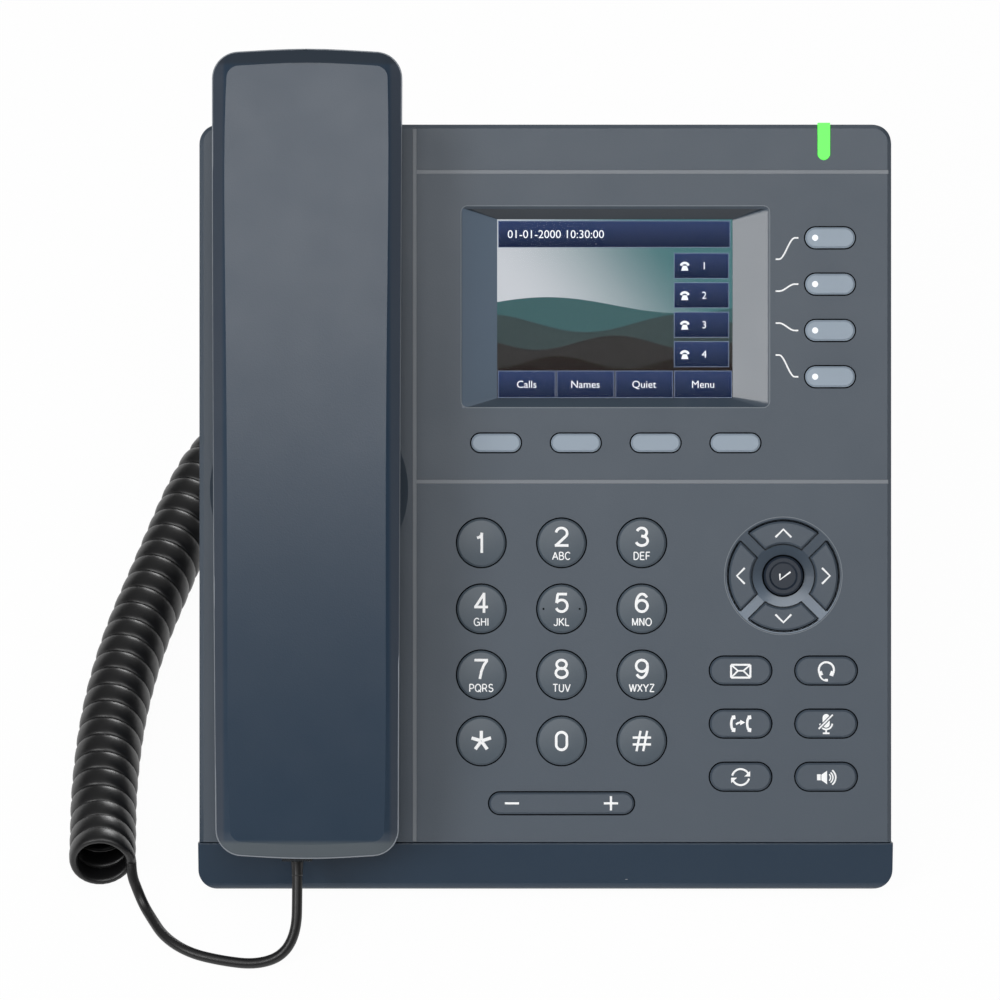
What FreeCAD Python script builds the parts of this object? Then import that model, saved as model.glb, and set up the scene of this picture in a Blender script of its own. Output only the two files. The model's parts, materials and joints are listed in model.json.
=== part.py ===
"""Desk telephone for an IP network, standing tilted on its foot stand.

Every piece is drawn in the face frame: x to the right, y up the face from the
bottom edge, z out of the face, with z = 0 on the face itself.  stance() then tilts
the phone onto the desk: +Z up, the face looking towards -Y, the origin on the desk
under the middle of the phone.  All sizes are millimetres.
"""

import FreeCAD, Part
import math
import os

V = FreeCAD.Vector

# Stance
TILT_DEG = 45.0            # face against the desk

# Housing
BODY_WIDTH = 171.0
BODY_HEIGHT = 188.7
CORNER_RADIUS = 4.8
WALL = 2.4
CHIN_HEIGHT = 11.6         # dark strip of the tub below the face
CHIN_SINK = 0.4            # chin's upper edge below the face
CHIN_DROP = 4.6            # chin's lower edge below the face
COVER_STEP = 0.5           # tub's rim outside the cover
COVER_GAP = 0.15           # joint line between cover and chin
COVER_DEPTH = 10.0
EDGE_BEVEL = 0.9
BOTTOM_DEPTH = 9.0         # depth of the bottom wall, down to the feet
FOOT_FLAT = 8.0            # flat for the feet, level with the desk
STEP_Y = 44.0              # where the tub's back starts to thicken
UPPER_DEPTH = 27.0
TAPER_Y = 152.0            # where the back starts to thin towards the top
TOP_DEPTH = 18.0
GROOVE_WIDTH = 1.0
GROOVE_DEPTH = 0.4
DIVIDER_OFF = 26.0         # groove between cradle and keys, from the handset's middle
HEAD_LINE_Y = 176.6        # groove under the head strip
MID_LINE_Y = 100.4         # groove between screen and keypad

# Keys
KEY_GAP = 0.3              # round each key in its hole
KEY_SEAT = 0.3             # between a key's flange and the cover
KEY_TRAVEL = 1.2
KEY_REST = 0.3             # left under a fully pressed key
KEY_EDGE = 0.45            # bevel of a key's top edge
FLANGE = 0.7               # width of a key's flange
FLANGE_THICK = 1.2
STEM_LENGTH = 1.0
STEM_RADIUS = 2.0
PAD_RADIUS = 2.2
PAD_HEIGHT = 1.0
MEMBRANE_THICK = 1.0
BOARD_THICK = 1.6

DIGIT_DIAMETER = 11.9
DIGIT_PITCH_X = 19.74
DIGIT_PITCH_Y = 16.24
DIGIT_X = 3.94             # middle column
DIGIT_Y = 85.36            # top row
DIGIT_PROUD = 0.7
DIGIT_CROWN = 0.35

SOFT_LENGTH = 12.2
SOFT_WIDTH = 4.5
SOFT_PITCH = 19.63
SOFT_OFF = 0.18            # middle of the row, from the screen's
SOFT_Y = 109.96
LINE_LENGTH = 12.2
LINE_WIDTH = 5.1
LINE_PITCH = 11.39
LINE_EDGE = 15.51          # middle of the column, from the body's right side
LINE_Y = 143.3             # middle of the column
BAR_PROUD = 0.8

NAV_EDGE = 27.0            # middle of the pad, from the body's right side
NAV_Y = 77.24
NAV_OUTER = 13.4
NAV_INNER = 7.9
NAV_SPOKE = 3.0
NAV_RIM = 0.9              # dished rim outside the four direction keys
NAV_DISH = 1.0             # depth of the dish at the middle key
NAV_PROUD = 0.5
OK_RADIUS = 4.8
OK_RECESS = 3.5            # radius of the finger dish in the middle key

FUNCTION_LENGTH = 15.1
FUNCTION_WIDTH = 6.8
FUNCTION_PITCH_X = 21.03
FUNCTION_PITCH_Y = 13.06
FUNCTION_Y = 40.89         # middle row
VOLUME_LENGTH = 35.6
VOLUME_WIDTH = 5.3
VOLUME_Y = 21.3
VOLUME_TAB = 3.5           # half length of the rocker's pivot tab
FLAT_PROUD = 0.6

# Screen
SCREEN_OFF = 19.865        # left of half way between the dial and the line keys
SCREEN_Y = 143.05
SCREEN_WIDTH = 58.0
SCREEN_HEIGHT = 44.1
FRAME_LEFT = 8.9           # sloping frame round the screen
FRAME_RIGHT = 9.1
FRAME_TOP = 3.2
FRAME_BOTTOM = 2.5
FRAME_RADIUS = 1.6
SCREEN_RECESS = 3.0
SCREEN_LIP = 0.6
LENS_MARGIN = 1.8
LENS_THICK = 1.2
LENS_GAP = 0.15
BOARD_CLEAR = 0.1          # screen module above the board

# Message lamp
LAMP_EDGE = 17.0           # from the body's right side
LAMP_WIDTH = 3.0
LAMP_LENGTH = 8.6
LAMP_GAP = 0.1
LAMP_PROUD = 0.25
LAMP_LEG = 2.4

# Handset and cradle
HANDSET_EDGE = 27.3        # handset's middle, from the body's left side
PORT_OFF = -2.6            # cord entry in the mouth end, from the handset's middle
HANDSET_WIDTH = 46.1
HANDSET_TAPER = 0.9        # each side narrower at the mouth end
HANDSET_BOTTOM = 8.4
HANDSET_TOP = 205.9
HANDSET_CORNER = 6.4
HANDSET_END_RADIUS = 160.0
HANDSET_END_BOW = 1.2      # bow of the two ends
HANDSET_END_Z = 19.5       # outer surface at the ends
HANDSET_MID_Z = 27.0       # outer surface half way
HANDSET_PART_Z = 14.5      # parting plane of the two shells
HANDSET_WALL = 2.0
HANDSET_BEVEL = 3.4        # sloping border of the outer panel, across
HANDSET_BEVEL_DROP = 2.0   # and down
UNDER_END_Z = 2.5          # underside at the ends
UNDER_MID_Z = 10.5         # underside at the grip
GRIP_FROM = 50.0
GRIP_TO = 144.0
CUP_INSET = 4.05           # cup's sides inside the handset's
CUP_CORNER = 7.0
CUP_FLOOR_Z = -5.0
CUP_EDGE = 1.8
EAR_CUP = (150.0, 183.0)
MOUTH_CUP = (16.4, 44.0)
WELL_GAP = 1.2
WELL_REST = 0.3            # between cup and well floor
LIFT_TRAVEL = 60.0
RECEIVER_RADIUS = 14.0
RECEIVER_HEIGHT = 8.0
MIC_RADIUS = 4.85
MIC_HEIGHT = 5.0

# Hook switch
HOOK_IN = 6.0              # hook's middle above the ear cup's lower side
HOOK_LENGTH = 9.0
HOOK_WIDTH = 5.0
HOOK_CORNER = 1.5
HOOK_GAP = 0.3
HOOK_PROUD = 0.15
HOOK_TRAVEL = 3.0
HOOK_FLANGE = 1.0
HOOK_TUBE = 1.8
HOOK_BODY = 6.0

# Loudspeaker
SPEAKER_Y = 98.4
SPEAKER_DISH = 24.4
SPEAKER_DISH_DEPTH = 1.0
SPEAKER_RADIUS = 21.5
SPEAKER_DEPTH = 15.0
SPEAKER_MAGNET = 11.0
SPEAKER_RING = 1.6
GRILLE_HOLE = 0.9
GRILLE_STEP = 4.6
GRILLE_RINGS = 4

# Jacks, all entered from the back
JACK_Y = 66.0
JACK_GAP = 0.2
JACK_SINK = 0.1
NETWORK_X = (6.0, 26.0)
NETWORK_BODY = (16.0, 14.5)
NETWORK_PORT = (11.7, 6.8)
MODULAR_OFF = (-5.8, 10.2)  # handset and headset sockets, from the handset's middle
MODULAR_BODY = (11.0, 11.0)
MODULAR_PORT = (7.8, 6.6)
PORT_DEPTH = 11.0
LATCH_WIDTH = 0.5           # share of the port's width
LATCH_DEPTH = 1.4
POWER_X = 46.0
POWER_BODY = 10.0
POWER_PORT_RADIUS = 3.1
POWER_PIN_RADIUS = 0.95
PLUG_GAP = 0.2
PLUG_IN = 9.0               # inserted length
PLUG_OUT = 3.0              # standing out of the jack
HANDSET_PLUG_OUT = 0.8      # standing out of the handset's end

# Board
BOARD_INSET = 3.2           # left edge, from the groove beside the cradle
BOARD_EDGE = 5.5            # right edge, from the body's side
BOARD_BOTTOM = 15.4
BOARD_TOP_EDGE = 184.0
TONGUE_EDGE = 11.5          # from the body's left side
TONGUE_BOTTOM = 56.5
TONGUE_TOP = 75.0
MEMBRANE_BOTTOM = 16.4
MEMBRANE_TOP_EDGE = 115.0
MEMBRANE_STRIP_HALF = 8.49  # strip under the line keys, left of their middle
MEMBRANE_STRIP_OVER = 7.615  # and above the top one's middle

# Screws
SCREW_RIGHT_EDGE = 5.5
SCREW_RIGHT_Y = (174.5, 22.0)
SCREW_MIDDLE_OFF = 6.2      # from the groove beside the cradle
SCREW_MIDDLE_Y = (180.0, 20.0)
SCREW_LEFT_EDGE = 6.9
SCREW_LEFT_Y = (134.0, 62.0)
POST_RADIUS = 3.2
PILOT_RADIUS = 1.3
SHANK_RADIUS = 1.25
SHANK_INTO = 6.0
HEAD_RADIUS = 2.7
HEAD_THICK = 1.5
SEAT_DEPTH = 2.0            # screw seat behind the cover's edge
BORE_RADIUS = 3.1
BOSS_RADIUS = 4.6
SHANK_HOLE = 1.6

# Feet and stand
PAD_THICK = 2.0
FRONT_PAD = (22.0, 6.0)
FRONT_PAD_EDGE = 19.5       # middle of a pad, from the body's side
FRONT_PAD_BACK = 0.6        # behind a pad to the end of the flat
STAND_HALF = 41.0
STAND_PLATE = (100.0, 142.0)
STAND_THICK = 4.0
STAND_FOOT_Y = 148.0        # middle of the foot, level distance behind the face's lower edge
STAND_FOOT = 14.0
STAND_FOOT_HIGH = 6.0
STAND_ROOT = 130.0          # where the leg meets the plate, up the face
STAND_RIB = 4.0
STAND_RIB_DEEP = 9.0
WINDOW_HALF = 27.0
WINDOW_LOW = 14.0
WINDOW_HIGH = 50.0
REAR_PAD = (20.0, 9.0)
REAR_PAD_X = 28.0
HOOK_TABS = ((-31.0, 106.0), (31.0, 106.0), (-31.0, 136.0), (31.0, 136.0))
TAB_WIDTH = 8.0
TAB_THICK = 2.6
TAB_GAP = 0.2
TAB_LIP = 2.2
TAB_LIP_THICK = 1.6
KEYHOLE_EDGE = 23.5         # from the body's side
KEYHOLE_Y = 128.0
KEYHOLE_HEAD = 4.0
KEYHOLE_SLOT = 2.0
KEYHOLE_RISE = 8.0

# Base microphone, in the chin
BASE_MIC_X = 20.0
BASE_MIC_RADIUS = 3.0
BASE_MIC_LENGTH = 4.0
BASE_MIC_HOLE = 0.7
BASE_MIC_GAP = 0.1

# Cord, with its routes in the desk frame
LEAD_DIAMETER = 2.8
LEAD_STRAIGHT = 8.0         # straight run of the lead at the handset's plug
COIL_WIRE = 4.4             # round wire in place of the flat cord
COIL_OUTSIDE = 15.7
COIL_TURNS = 23
COIL_HEIGHT = 8.05          # axis above the desk
COIL_ROUTE = ((-109.4, -63.6), (-109.7, -40.5), (-108.1, -15.1), (-104.1, 10.8), (-97.6, 37.0),
              (-90.7, 63.8), (-84.3, 77.4), (-76.5, 86.0))
HANDSET_LEAD_ROUTE = ((-103.8, -69.5, 2.1), (-100.4, -72.6, 1.8), (-96.4, -79.0, 1.6), (-90.3, -86.0, 1.6),
                      (-81.0, -90.0, 1.6), (-71.5, -92.7, 1.7), (-64.3, -92.2, 4.3), (-61.0, -88.6, 9.2))
BASE_LEAD_ROUTE = ((-65.5, 86.0, 1.8), (-58.8, 81.5, 1.6), (-57.0, 71.0, 1.6), (-57.5, 56.0, 1.6),
                   (-59.0, 38.0, 1.8), (-62.0, 21.0, 8.0), (-64.0, 5.4, 21.9))

# Derived levels and places
SIN = math.sin(math.radians(TILT_DEG))
COS = math.cos(math.radians(TILT_DEG))
FLANGE_TOP = -(WALL + KEY_SEAT)
FLANGE_FLOOR = FLANGE_TOP - FLANGE_THICK
STEM_FLOOR = FLANGE_FLOOR - STEM_LENGTH
PAD_TOP = STEM_FLOOR - KEY_TRAVEL - KEY_REST
MEMBRANE_TOP = PAD_TOP - PAD_HEIGHT
BOARD_TOP = MEMBRANE_TOP - MEMBRANE_THICK
BOARD_FLOOR = BOARD_TOP - BOARD_THICK
LENS_TOP = -(SCREEN_RECESS + SCREEN_LIP)
LENS_FLOOR = LENS_TOP - LENS_THICK
WELL_FLOOR = CUP_FLOOR_Z - WELL_REST
LOWER_DEPTH = BOTTOM_DEPTH + FOOT_FLAT * SIN
DESK_DROP = BOTTOM_DEPTH * COS + PAD_THICK   # desk below the face's lower edge
HALF = BODY_WIDTH / 2
HANDSET_X = -(HALF - HANDSET_EDGE)
CUP_WIDTH = HANDSET_WIDTH - 2 * CUP_INSET
HOOK_Y = EAR_CUP[0] + HOOK_IN
DIVIDER_X = HANDSET_X + DIVIDER_OFF
PORT_X = HANDSET_X + PORT_OFF
MODULAR_X = [HANDSET_X + off for off in MODULAR_OFF]
LINE_X = HALF - LINE_EDGE
NAV_X = HALF - NAV_EDGE
LAMP_X = HALF - LAMP_EDGE
SCREEN_X = (DIGIT_X + LINE_X) / 2 - SCREEN_OFF
SOFT_X = SCREEN_X + SOFT_OFF
BOARD_LEFT = DIVIDER_X + BOARD_INSET
BOARD_RIGHT = HALF - BOARD_EDGE
TONGUE_LEFT = -(HALF - TONGUE_EDGE)
MEMBRANE_STRIP = LINE_X - MEMBRANE_STRIP_HALF
MEMBRANE_STRIP_TOP = LINE_Y + 1.5 * LINE_PITCH + MEMBRANE_STRIP_OVER
FRONT_PAD_X = HALF - FRONT_PAD_EDGE
KEYHOLE_X = HALF - KEYHOLE_EDGE
SCREWS = [(HALF - SCREW_RIGHT_EDGE, y) for y in SCREW_RIGHT_Y]
SCREWS += [(DIVIDER_X + SCREW_MIDDLE_OFF, y) for y in SCREW_MIDDLE_Y]
SCREWS += [(-(HALF - SCREW_LEFT_EDGE), y) for y in SCREW_LEFT_Y]
COVER_HALF = HALF - COVER_STEP
COVER_FROM = CHIN_HEIGHT + COVER_GAP
COVER_TO = BODY_HEIGHT - COVER_STEP
FAR = 400.0                                  # longer than the phone, for through cuts


# Outlines and solids

def rounded_wire(corners, place):
    """Closed wire through (a, b, radius) corners, each rounded by a tangent arc."""
    ends = []
    count = len(corners)
    for i, (a, b, radius) in enumerate(corners):
        here = V(a, b, 0)
        before = V(*corners[i - 1][:2], 0) - here
        after = V(*corners[(i + 1) % count][:2], 0) - here
        before.normalize()
        after.normalize()
        half_turn = before.getAngle(after) / 2
        if radius <= 0:
            ends.append((here, None, here))
            continue
        reach = radius / math.tan(half_turn)
        inward = before + after
        inward.normalize()
        middle = here + inward * (radius / math.sin(half_turn) - radius)
        ends.append((here + before * reach, middle, here + after * reach))
    edges = []
    for i, (start, middle, end) in enumerate(ends):
        last = ends[i - 1][2]
        if (start - last).Length > 1e-6:
            edges.append(Part.LineSegment(place(last.x, last.y), place(start.x, start.y)).toShape())
        if middle is not None:
            arc = Part.Arc(place(start.x, start.y), place(middle.x, middle.y), place(end.x, end.y))
            edges.append(arc.toShape())
    return Part.Wire(Part.__sortEdges__(edges))


def plan_prism(corners, low, high):
    """Solid over an (x, y, radius) outline between two heights."""
    wire = rounded_wire(corners, lambda a, b: V(a, b, low))
    return Part.Face(wire).extrude(V(0, 0, high - low))


def side_prism(corners, left, right):
    """Solid of a (y, z, radius) side profile between two x places."""
    wire = rounded_wire(corners, lambda a, b: V(left, a, b))
    return Part.Face(wire).extrude(V(right - left, 0, 0))


def rectangle(left, right, bottom, top, radius=0.0):
    return [(left, bottom, radius), (right, bottom, radius), (right, top, radius), (left, top, radius)]


def centred(x, y, length, width, radius=0.0):
    return rectangle(x - length / 2, x + length / 2, y - width / 2, y + width / 2, radius)


def block(left, right, bottom, top, low, high):
    return Part.makeBox(right - left, top - bottom, high - low, V(left, bottom, low))


def cylinder(x, y, radius, low, high):
    return Part.makeCylinder(radius, high - low, V(x, y, low))


def cone(x, y, low, low_radius, high, high_radius):
    return Part.makeCone(low_radius, high_radius, high - low, V(x, y, low))


def revolve(x, y, profile):
    """Solid of an (r, z) half profile turned about the face normal at x, y."""
    points = [V(x + r, y, z) for r, z in profile]
    wire = Part.makePolygon(points + points[:1])
    return Part.Face(wire).revolve(V(x, y, 0), V(0, 0, 1), 360)


def union(shapes):
    shapes = list(shapes)
    return shapes[0].multiFuse(shapes[1:]).removeSplitter() if len(shapes) > 1 else shapes[0]


def edges_at(shape, height):
    """Edges that lie wholly at one height."""
    return [e for e in shape.Edges if abs(e.BoundBox.ZMin - height) < 1e-4 and abs(e.BoundBox.ZMax - height) < 1e-4]


def from_desk(level, height):
    """Face-frame (y, z) of a place given by its level distance behind the face's lower edge and its height."""
    rise = height - DESK_DROP
    return level * COS + rise * SIN, -level * SIN + rise * COS


# Keys

def round_outline(x, y, radius):
    def wire(grow, height):
        return Part.Wire(Part.makeCircle(radius + grow, V(x, y, height)))
    return wire


def bar_outline(x, y, length, width):
    def wire(grow, height):
        corners = centred(x, y, length + 2 * grow, width + 2 * grow, width / 2 + grow)
        return rounded_wire(corners, lambda a, b: V(a, b, height))
    return wire


def quadrant_outline(turn):
    """One direction key: a ring sector between two straight spokes."""
    def wire(grow, height):
        def corner(radius, side):
            lean = math.radians(45) - math.asin((NAV_SPOKE / 2 - grow) / radius)
            angle = math.radians(90 + turn) + side * lean
            return V(NAV_X + radius * math.cos(angle), NAV_Y + radius * math.sin(angle), height)

        def middle(radius):
            angle = math.radians(90 + turn)
            return V(NAV_X + radius * math.cos(angle), NAV_Y + radius * math.sin(angle), height)
        outer, inner = NAV_OUTER + grow, NAV_INNER - grow
        return Part.Wire([
            Part.Arc(corner(outer, -1), middle(outer), corner(outer, 1)).toShape(),
            Part.LineSegment(corner(outer, 1), corner(inner, 1)).toShape(),
            Part.Arc(corner(inner, 1), middle(inner), corner(inner, -1)).toShape(),
            Part.LineSegment(corner(inner, -1), corner(outer, -1)).toShape(),
        ])
    return wire


def raised(outline, grow, low, high):
    return Part.Face(outline(grow, low)).extrude(V(0, 0, high - low))


def key_hole(outline):
    return raised(outline, KEY_GAP, -WALL - 1, NAV_PROUD)


def flange_and_stem(outline, x, y):
    return [
        raised(outline, FLANGE, FLANGE_FLOOR, FLANGE_TOP),
        cylinder(x, y, STEM_RADIUS, STEM_FLOOR, FLANGE_FLOOR),
    ]


def flat_key(outline, x, y, proud):
    """Key with a flat top and a bevelled top edge."""
    cap = raised(outline, 0, FLANGE_FLOOR, proud)
    cap = cap.makeChamfer(KEY_EDGE, edges_at(cap, proud))
    return union([cap] + flange_and_stem(outline, x, y))


def digit_key(x, y):
    """Round key with a crowned top."""
    radius = DIGIT_DIAMETER / 2
    shoulder = radius - KEY_EDGE
    crown = Part.Arc(V(x, y, DIGIT_PROUD + DIGIT_CROWN),
                     V(x + shoulder / 2, y, DIGIT_PROUD + DIGIT_CROWN * 0.75),
                     V(x + shoulder, y, DIGIT_PROUD)).toShape()
    sides = Part.makePolygon([
        V(x + shoulder, y, DIGIT_PROUD), V(x + radius, y, DIGIT_PROUD - KEY_EDGE),
        V(x + radius, y, FLANGE_FLOOR), V(x, y, FLANGE_FLOOR), V(x, y, DIGIT_PROUD + DIGIT_CROWN)])
    cap = Part.Face(Part.Wire([crown] + sides.Edges)).revolve(V(x, y, 0), V(0, 0, 1), 360)
    return union([cap] + flange_and_stem(round_outline(x, y, radius), x, y))


def ok_key():
    """Middle key of the direction pad, with a shallow finger dish."""
    outline = round_outline(NAV_X, NAV_Y, OK_RADIUS)
    key = flat_key(outline, NAV_X, NAV_Y, NAV_PROUD)
    dish = cone(NAV_X, NAV_Y, NAV_PROUD - KEY_EDGE, OK_RECESS - KEY_EDGE, NAV_PROUD, OK_RECESS)
    return key.cut(dish)


def volume_rocker():
    """Long rocker that tips about a short tab at its middle."""
    outline = bar_outline(DIGIT_X, VOLUME_Y, VOLUME_LENGTH, VOLUME_WIDTH)
    cap = raised(outline, 0, FLANGE_FLOOR, FLAT_PROUD)
    cap = cap.makeChamfer(KEY_EDGE, edges_at(cap, FLAT_PROUD))
    tab_half = VOLUME_WIDTH / 2 + FLANGE
    tab = block(DIGIT_X - VOLUME_TAB, DIGIT_X + VOLUME_TAB, VOLUME_Y - tab_half, VOLUME_Y + tab_half,
                FLANGE_FLOOR, FLANGE_TOP)
    return union([cap, tab])


def key_table():
    """Every key as (node name, outline, x, y, proud)."""
    rows = []
    digits = (("1", "2", "3"), ("4", "5", "6"), ("7", "8", "9"), ("star", "0", "hash"))
    for row, names in enumerate(digits):
        for column, name in enumerate(names):
            x = DIGIT_X + (column - 1) * DIGIT_PITCH_X
            y = DIGIT_Y - row * DIGIT_PITCH_Y
            rows.append(("digit_key_" + name, round_outline(x, y, DIGIT_DIAMETER / 2), x, y, None))
    for i in range(4):
        x = SOFT_X + (i - 1.5) * SOFT_PITCH
        rows.append((f"soft_key_{i + 1}", bar_outline(x, SOFT_Y, SOFT_LENGTH, SOFT_WIDTH), x, SOFT_Y, BAR_PROUD))
        y = LINE_Y + (1.5 - i) * LINE_PITCH
        rows.append((f"line_key_{i + 1}", bar_outline(LINE_X, y, LINE_LENGTH, LINE_WIDTH), LINE_X, y, BAR_PROUD))
    functions = (("message", "headset"), ("transfer", "mute"), ("redial", "speaker"))
    for row, names in enumerate(functions):
        for column, name in enumerate(names):
            x = NAV_X + (column - 0.5) * FUNCTION_PITCH_X
            y = FUNCTION_Y + (1 - row) * FUNCTION_PITCH_Y
            rows.append((name + "_key", bar_outline(x, y, FUNCTION_LENGTH, FUNCTION_WIDTH), x, y, FLAT_PROUD))
    for turn, name in ((0, "up"), (90, "left"), (180, "down"), (270, "right")):
        angle = math.radians(90 + turn)
        reach = (NAV_INNER + NAV_OUTER) / 2
        rows.append((f"{name}_key", quadrant_outline(turn), NAV_X + reach * math.cos(angle),
                     NAV_Y + reach * math.sin(angle), NAV_PROUD))
    return rows


def make_keys():
    keys = {}
    for name, outline, x, y, proud in key_table():
        keys[name] = digit_key(x, y) if proud is None else flat_key(outline, x, y, proud)
    for turn, name in ((90, "up_key"), (180, "left_key"), (270, "down_key")):
        keys[name] = keys["right_key"].rotated(V(NAV_X, NAV_Y, 0), V(0, 0, 1), turn)
    keys["ok_key"] = ok_key()
    keys["volume_rocker"] = volume_rocker()
    return keys


def key_outlines():
    outlines = [row[1] for row in key_table()]
    outlines.append(round_outline(NAV_X, NAV_Y, OK_RADIUS))
    outlines.append(bar_outline(DIGIT_X, VOLUME_Y, VOLUME_LENGTH, VOLUME_WIDTH))
    return outlines


def press_points():
    """Where the membrane carries a dome."""
    points = [(x, y) for _, _, x, y, _ in key_table()]
    points.append((NAV_X, NAV_Y))
    third = VOLUME_LENGTH / 3
    return points + [(DIGIT_X - third, VOLUME_Y), (DIGIT_X + third, VOLUME_Y)]


# Front cover

def screen_rectangle(grow):
    half_width, half_height = SCREEN_WIDTH / 2 + grow, SCREEN_HEIGHT / 2 + grow
    return rectangle(SCREEN_X - half_width, SCREEN_X + half_width, SCREEN_Y - half_height, SCREEN_Y + half_height)


def frame_rectangle(grow, radius):
    half_width, half_height = SCREEN_WIDTH / 2, SCREEN_HEIGHT / 2
    return rectangle(SCREEN_X - half_width - FRAME_LEFT - grow, SCREEN_X + half_width + FRAME_RIGHT + grow,
                     SCREEN_Y - half_height - FRAME_BOTTOM - grow, SCREEN_Y + half_height + FRAME_TOP + grow, radius)


def screen_funnel():
    """Sloping recess from the face down to the screen's opening."""
    over = WALL
    top = rounded_wire(frame_rectangle(0, FRAME_RADIUS), lambda a, b: V(a, b, 0))
    floor = rounded_wire([(a, b, FRAME_RADIUS / 4) for a, b, _ in screen_rectangle(0)],
                         lambda a, b: V(a, b, -SCREEN_RECESS))
    slope = Part.makeLoft([floor, top], True, True)
    opening = plan_prism(screen_rectangle(0), LENS_FLOOR - over, -SCREEN_RECESS / 2)
    return [slope, opening]


def lens_pocket():
    return plan_prism(screen_rectangle(LENS_MARGIN + LENS_GAP), BOARD_TOP - WALL, LENS_TOP)


def well_corners(cup, grow):
    return rectangle(HANDSET_X - CUP_WIDTH / 2 - grow, HANDSET_X + CUP_WIDTH / 2 + grow,
                     cup[0] - grow, cup[1] + grow, CUP_CORNER + grow)


def lamp_corners(grow, top):
    half = LAMP_WIDTH / 2 + grow
    bottom = COVER_TO - LAMP_LENGTH - grow
    return [(LAMP_X - half, bottom, half), (LAMP_X + half, bottom, half),
            (LAMP_X + half, top, 0), (LAMP_X - half, top, 0)]


def grille_points(x, y, step, rings):
    """Hexagonal rings of holes round a centre."""
    points = [(x, y)]
    for ring in range(1, rings + 1):
        for i in range(6 * ring):
            angle = 2 * math.pi * i / (6 * ring)
            points.append((x + step * ring * math.cos(angle), y + step * ring * math.sin(angle)))
    return points


def cover_corners(inset):
    low, high = COVER_FROM + inset, COVER_TO - inset
    half = COVER_HALF - inset
    top_radius = max(CORNER_RADIUS - COVER_STEP - inset, 0.5)
    return [(-half, low, 0), (half, low, 0), (half, high, top_radius), (-half, high, top_radius)]


def hook_guide():
    """Square tube under the ear well that guides the hook plunger."""
    grow = HOOK_FLANGE + HOOK_GAP
    outer = centred(HANDSET_X, HOOK_Y, HOOK_LENGTH + 2 * (grow + HOOK_TUBE), HOOK_WIDTH + 2 * (grow + HOOK_TUBE), 1.0)
    inner = centred(HANDSET_X, HOOK_Y, HOOK_LENGTH + 2 * grow, HOOK_WIDTH + 2 * grow)
    top = WELL_FLOOR - WALL
    floor = hook_floor()
    return plan_prism(outer, floor, top).cut(plan_prism(inner, floor - 1, top))


def hook_flange_top():
    return WELL_FLOOR - WALL - HOOK_TRAVEL - KEY_SEAT


def hook_floor():
    return hook_flange_top() - FLANGE_THICK - KEY_SEAT


def front_cover():
    shell = plan_prism(cover_corners(0), -COVER_DEPTH, 0)
    rim = [e for e in edges_at(shell, 0) if e.BoundBox.YMax > COVER_FROM + 1]
    shell = shell.makeChamfer(EDGE_BEVEL, rim)
    shell = shell.cut(plan_prism(cover_corners(WALL), -COVER_DEPTH - 1, -WALL))
    inside = plan_prism(cover_corners(0), WELL_FLOOR - WALL - FAR, -WALL / 2)
    adds = [plan_prism(well_corners(cup, WELL_GAP + WALL), WELL_FLOOR - WALL, -WALL / 2).common(inside)
            for cup in (EAR_CUP, MOUTH_CUP)]
    adds.append(plan_prism(frame_rectangle(WALL, FRAME_RADIUS), LENS_TOP - LENS_THICK / 2, -WALL / 2))
    adds += [cylinder(x, y, POST_RADIUS, -COVER_DEPTH, -WALL / 2).common(inside) for x, y in SCREWS]
    ring = SPEAKER_RADIUS + 0.2
    adds.append(cylinder(HANDSET_X, SPEAKER_Y, ring + SPEAKER_RING, -WALL - 3, -WALL / 2).cut(
        cylinder(HANDSET_X, SPEAKER_Y, ring, -WALL - 4, 0)))
    adds.append(hook_guide())
    shell = union([shell] + adds)

    cuts = [plan_prism(well_corners(cup, WELL_GAP), WELL_FLOOR, 1) for cup in (EAR_CUP, MOUTH_CUP)]
    cuts += screen_funnel() + [lens_pocket()]
    cuts += [key_hole(outline) for outline in key_outlines()]
    cuts.append(revolve(NAV_X, NAV_Y, [(0, 1), (NAV_OUTER + NAV_RIM, 1), (NAV_OUTER + NAV_RIM, 0),
                                       (NAV_INNER, -NAV_DISH / 3), (OK_RADIUS, -NAV_DISH), (0, -NAV_DISH)]))
    cuts += [cylinder(x, y, PILOT_RADIUS, -COVER_DEPTH - 1, -WALL) for x, y in SCREWS]
    cuts.append(cone(HANDSET_X, SPEAKER_Y, -SPEAKER_DISH_DEPTH, SPEAKER_DISH - 3, 0, SPEAKER_DISH))
    cuts += [cylinder(x, y, GRILLE_HOLE, -WALL - 1, 0)
             for x, y in grille_points(HANDSET_X, SPEAKER_Y, GRILLE_STEP, GRILLE_RINGS)]
    cuts.append(plan_prism(lamp_corners(LAMP_GAP, BODY_HEIGHT + 1), -WALL - 1, 1))
    cuts.append(block(LAMP_X - LAMP_WIDTH / 2 - LAMP_GAP, LAMP_X + LAMP_WIDTH / 2 + LAMP_GAP,
                      COVER_TO - WALL - 1, BODY_HEIGHT + 1, -LAMP_LEG - LAMP_GAP - WALL, 1))
    hook_slot = centred(HANDSET_X, HOOK_Y, HOOK_LENGTH + 2 * HOOK_GAP, HOOK_WIDTH + 2 * HOOK_GAP, HOOK_CORNER)
    cuts.append(plan_prism(hook_slot, WELL_FLOOR - WALL - 1, WELL_FLOOR + 1))
    half = GROOVE_WIDTH / 2
    cuts.append(block(DIVIDER_X - half, DIVIDER_X + half, COVER_FROM - 1, COVER_TO + 1, -GROOVE_DEPTH, 1))
    cuts += [block(DIVIDER_X, COVER_HALF + 1, y - half, y + half, -GROOVE_DEPTH, 1) for y in (HEAD_LINE_Y, MID_LINE_Y)]
    return shell.cut(cuts)


# Rear tub

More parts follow.
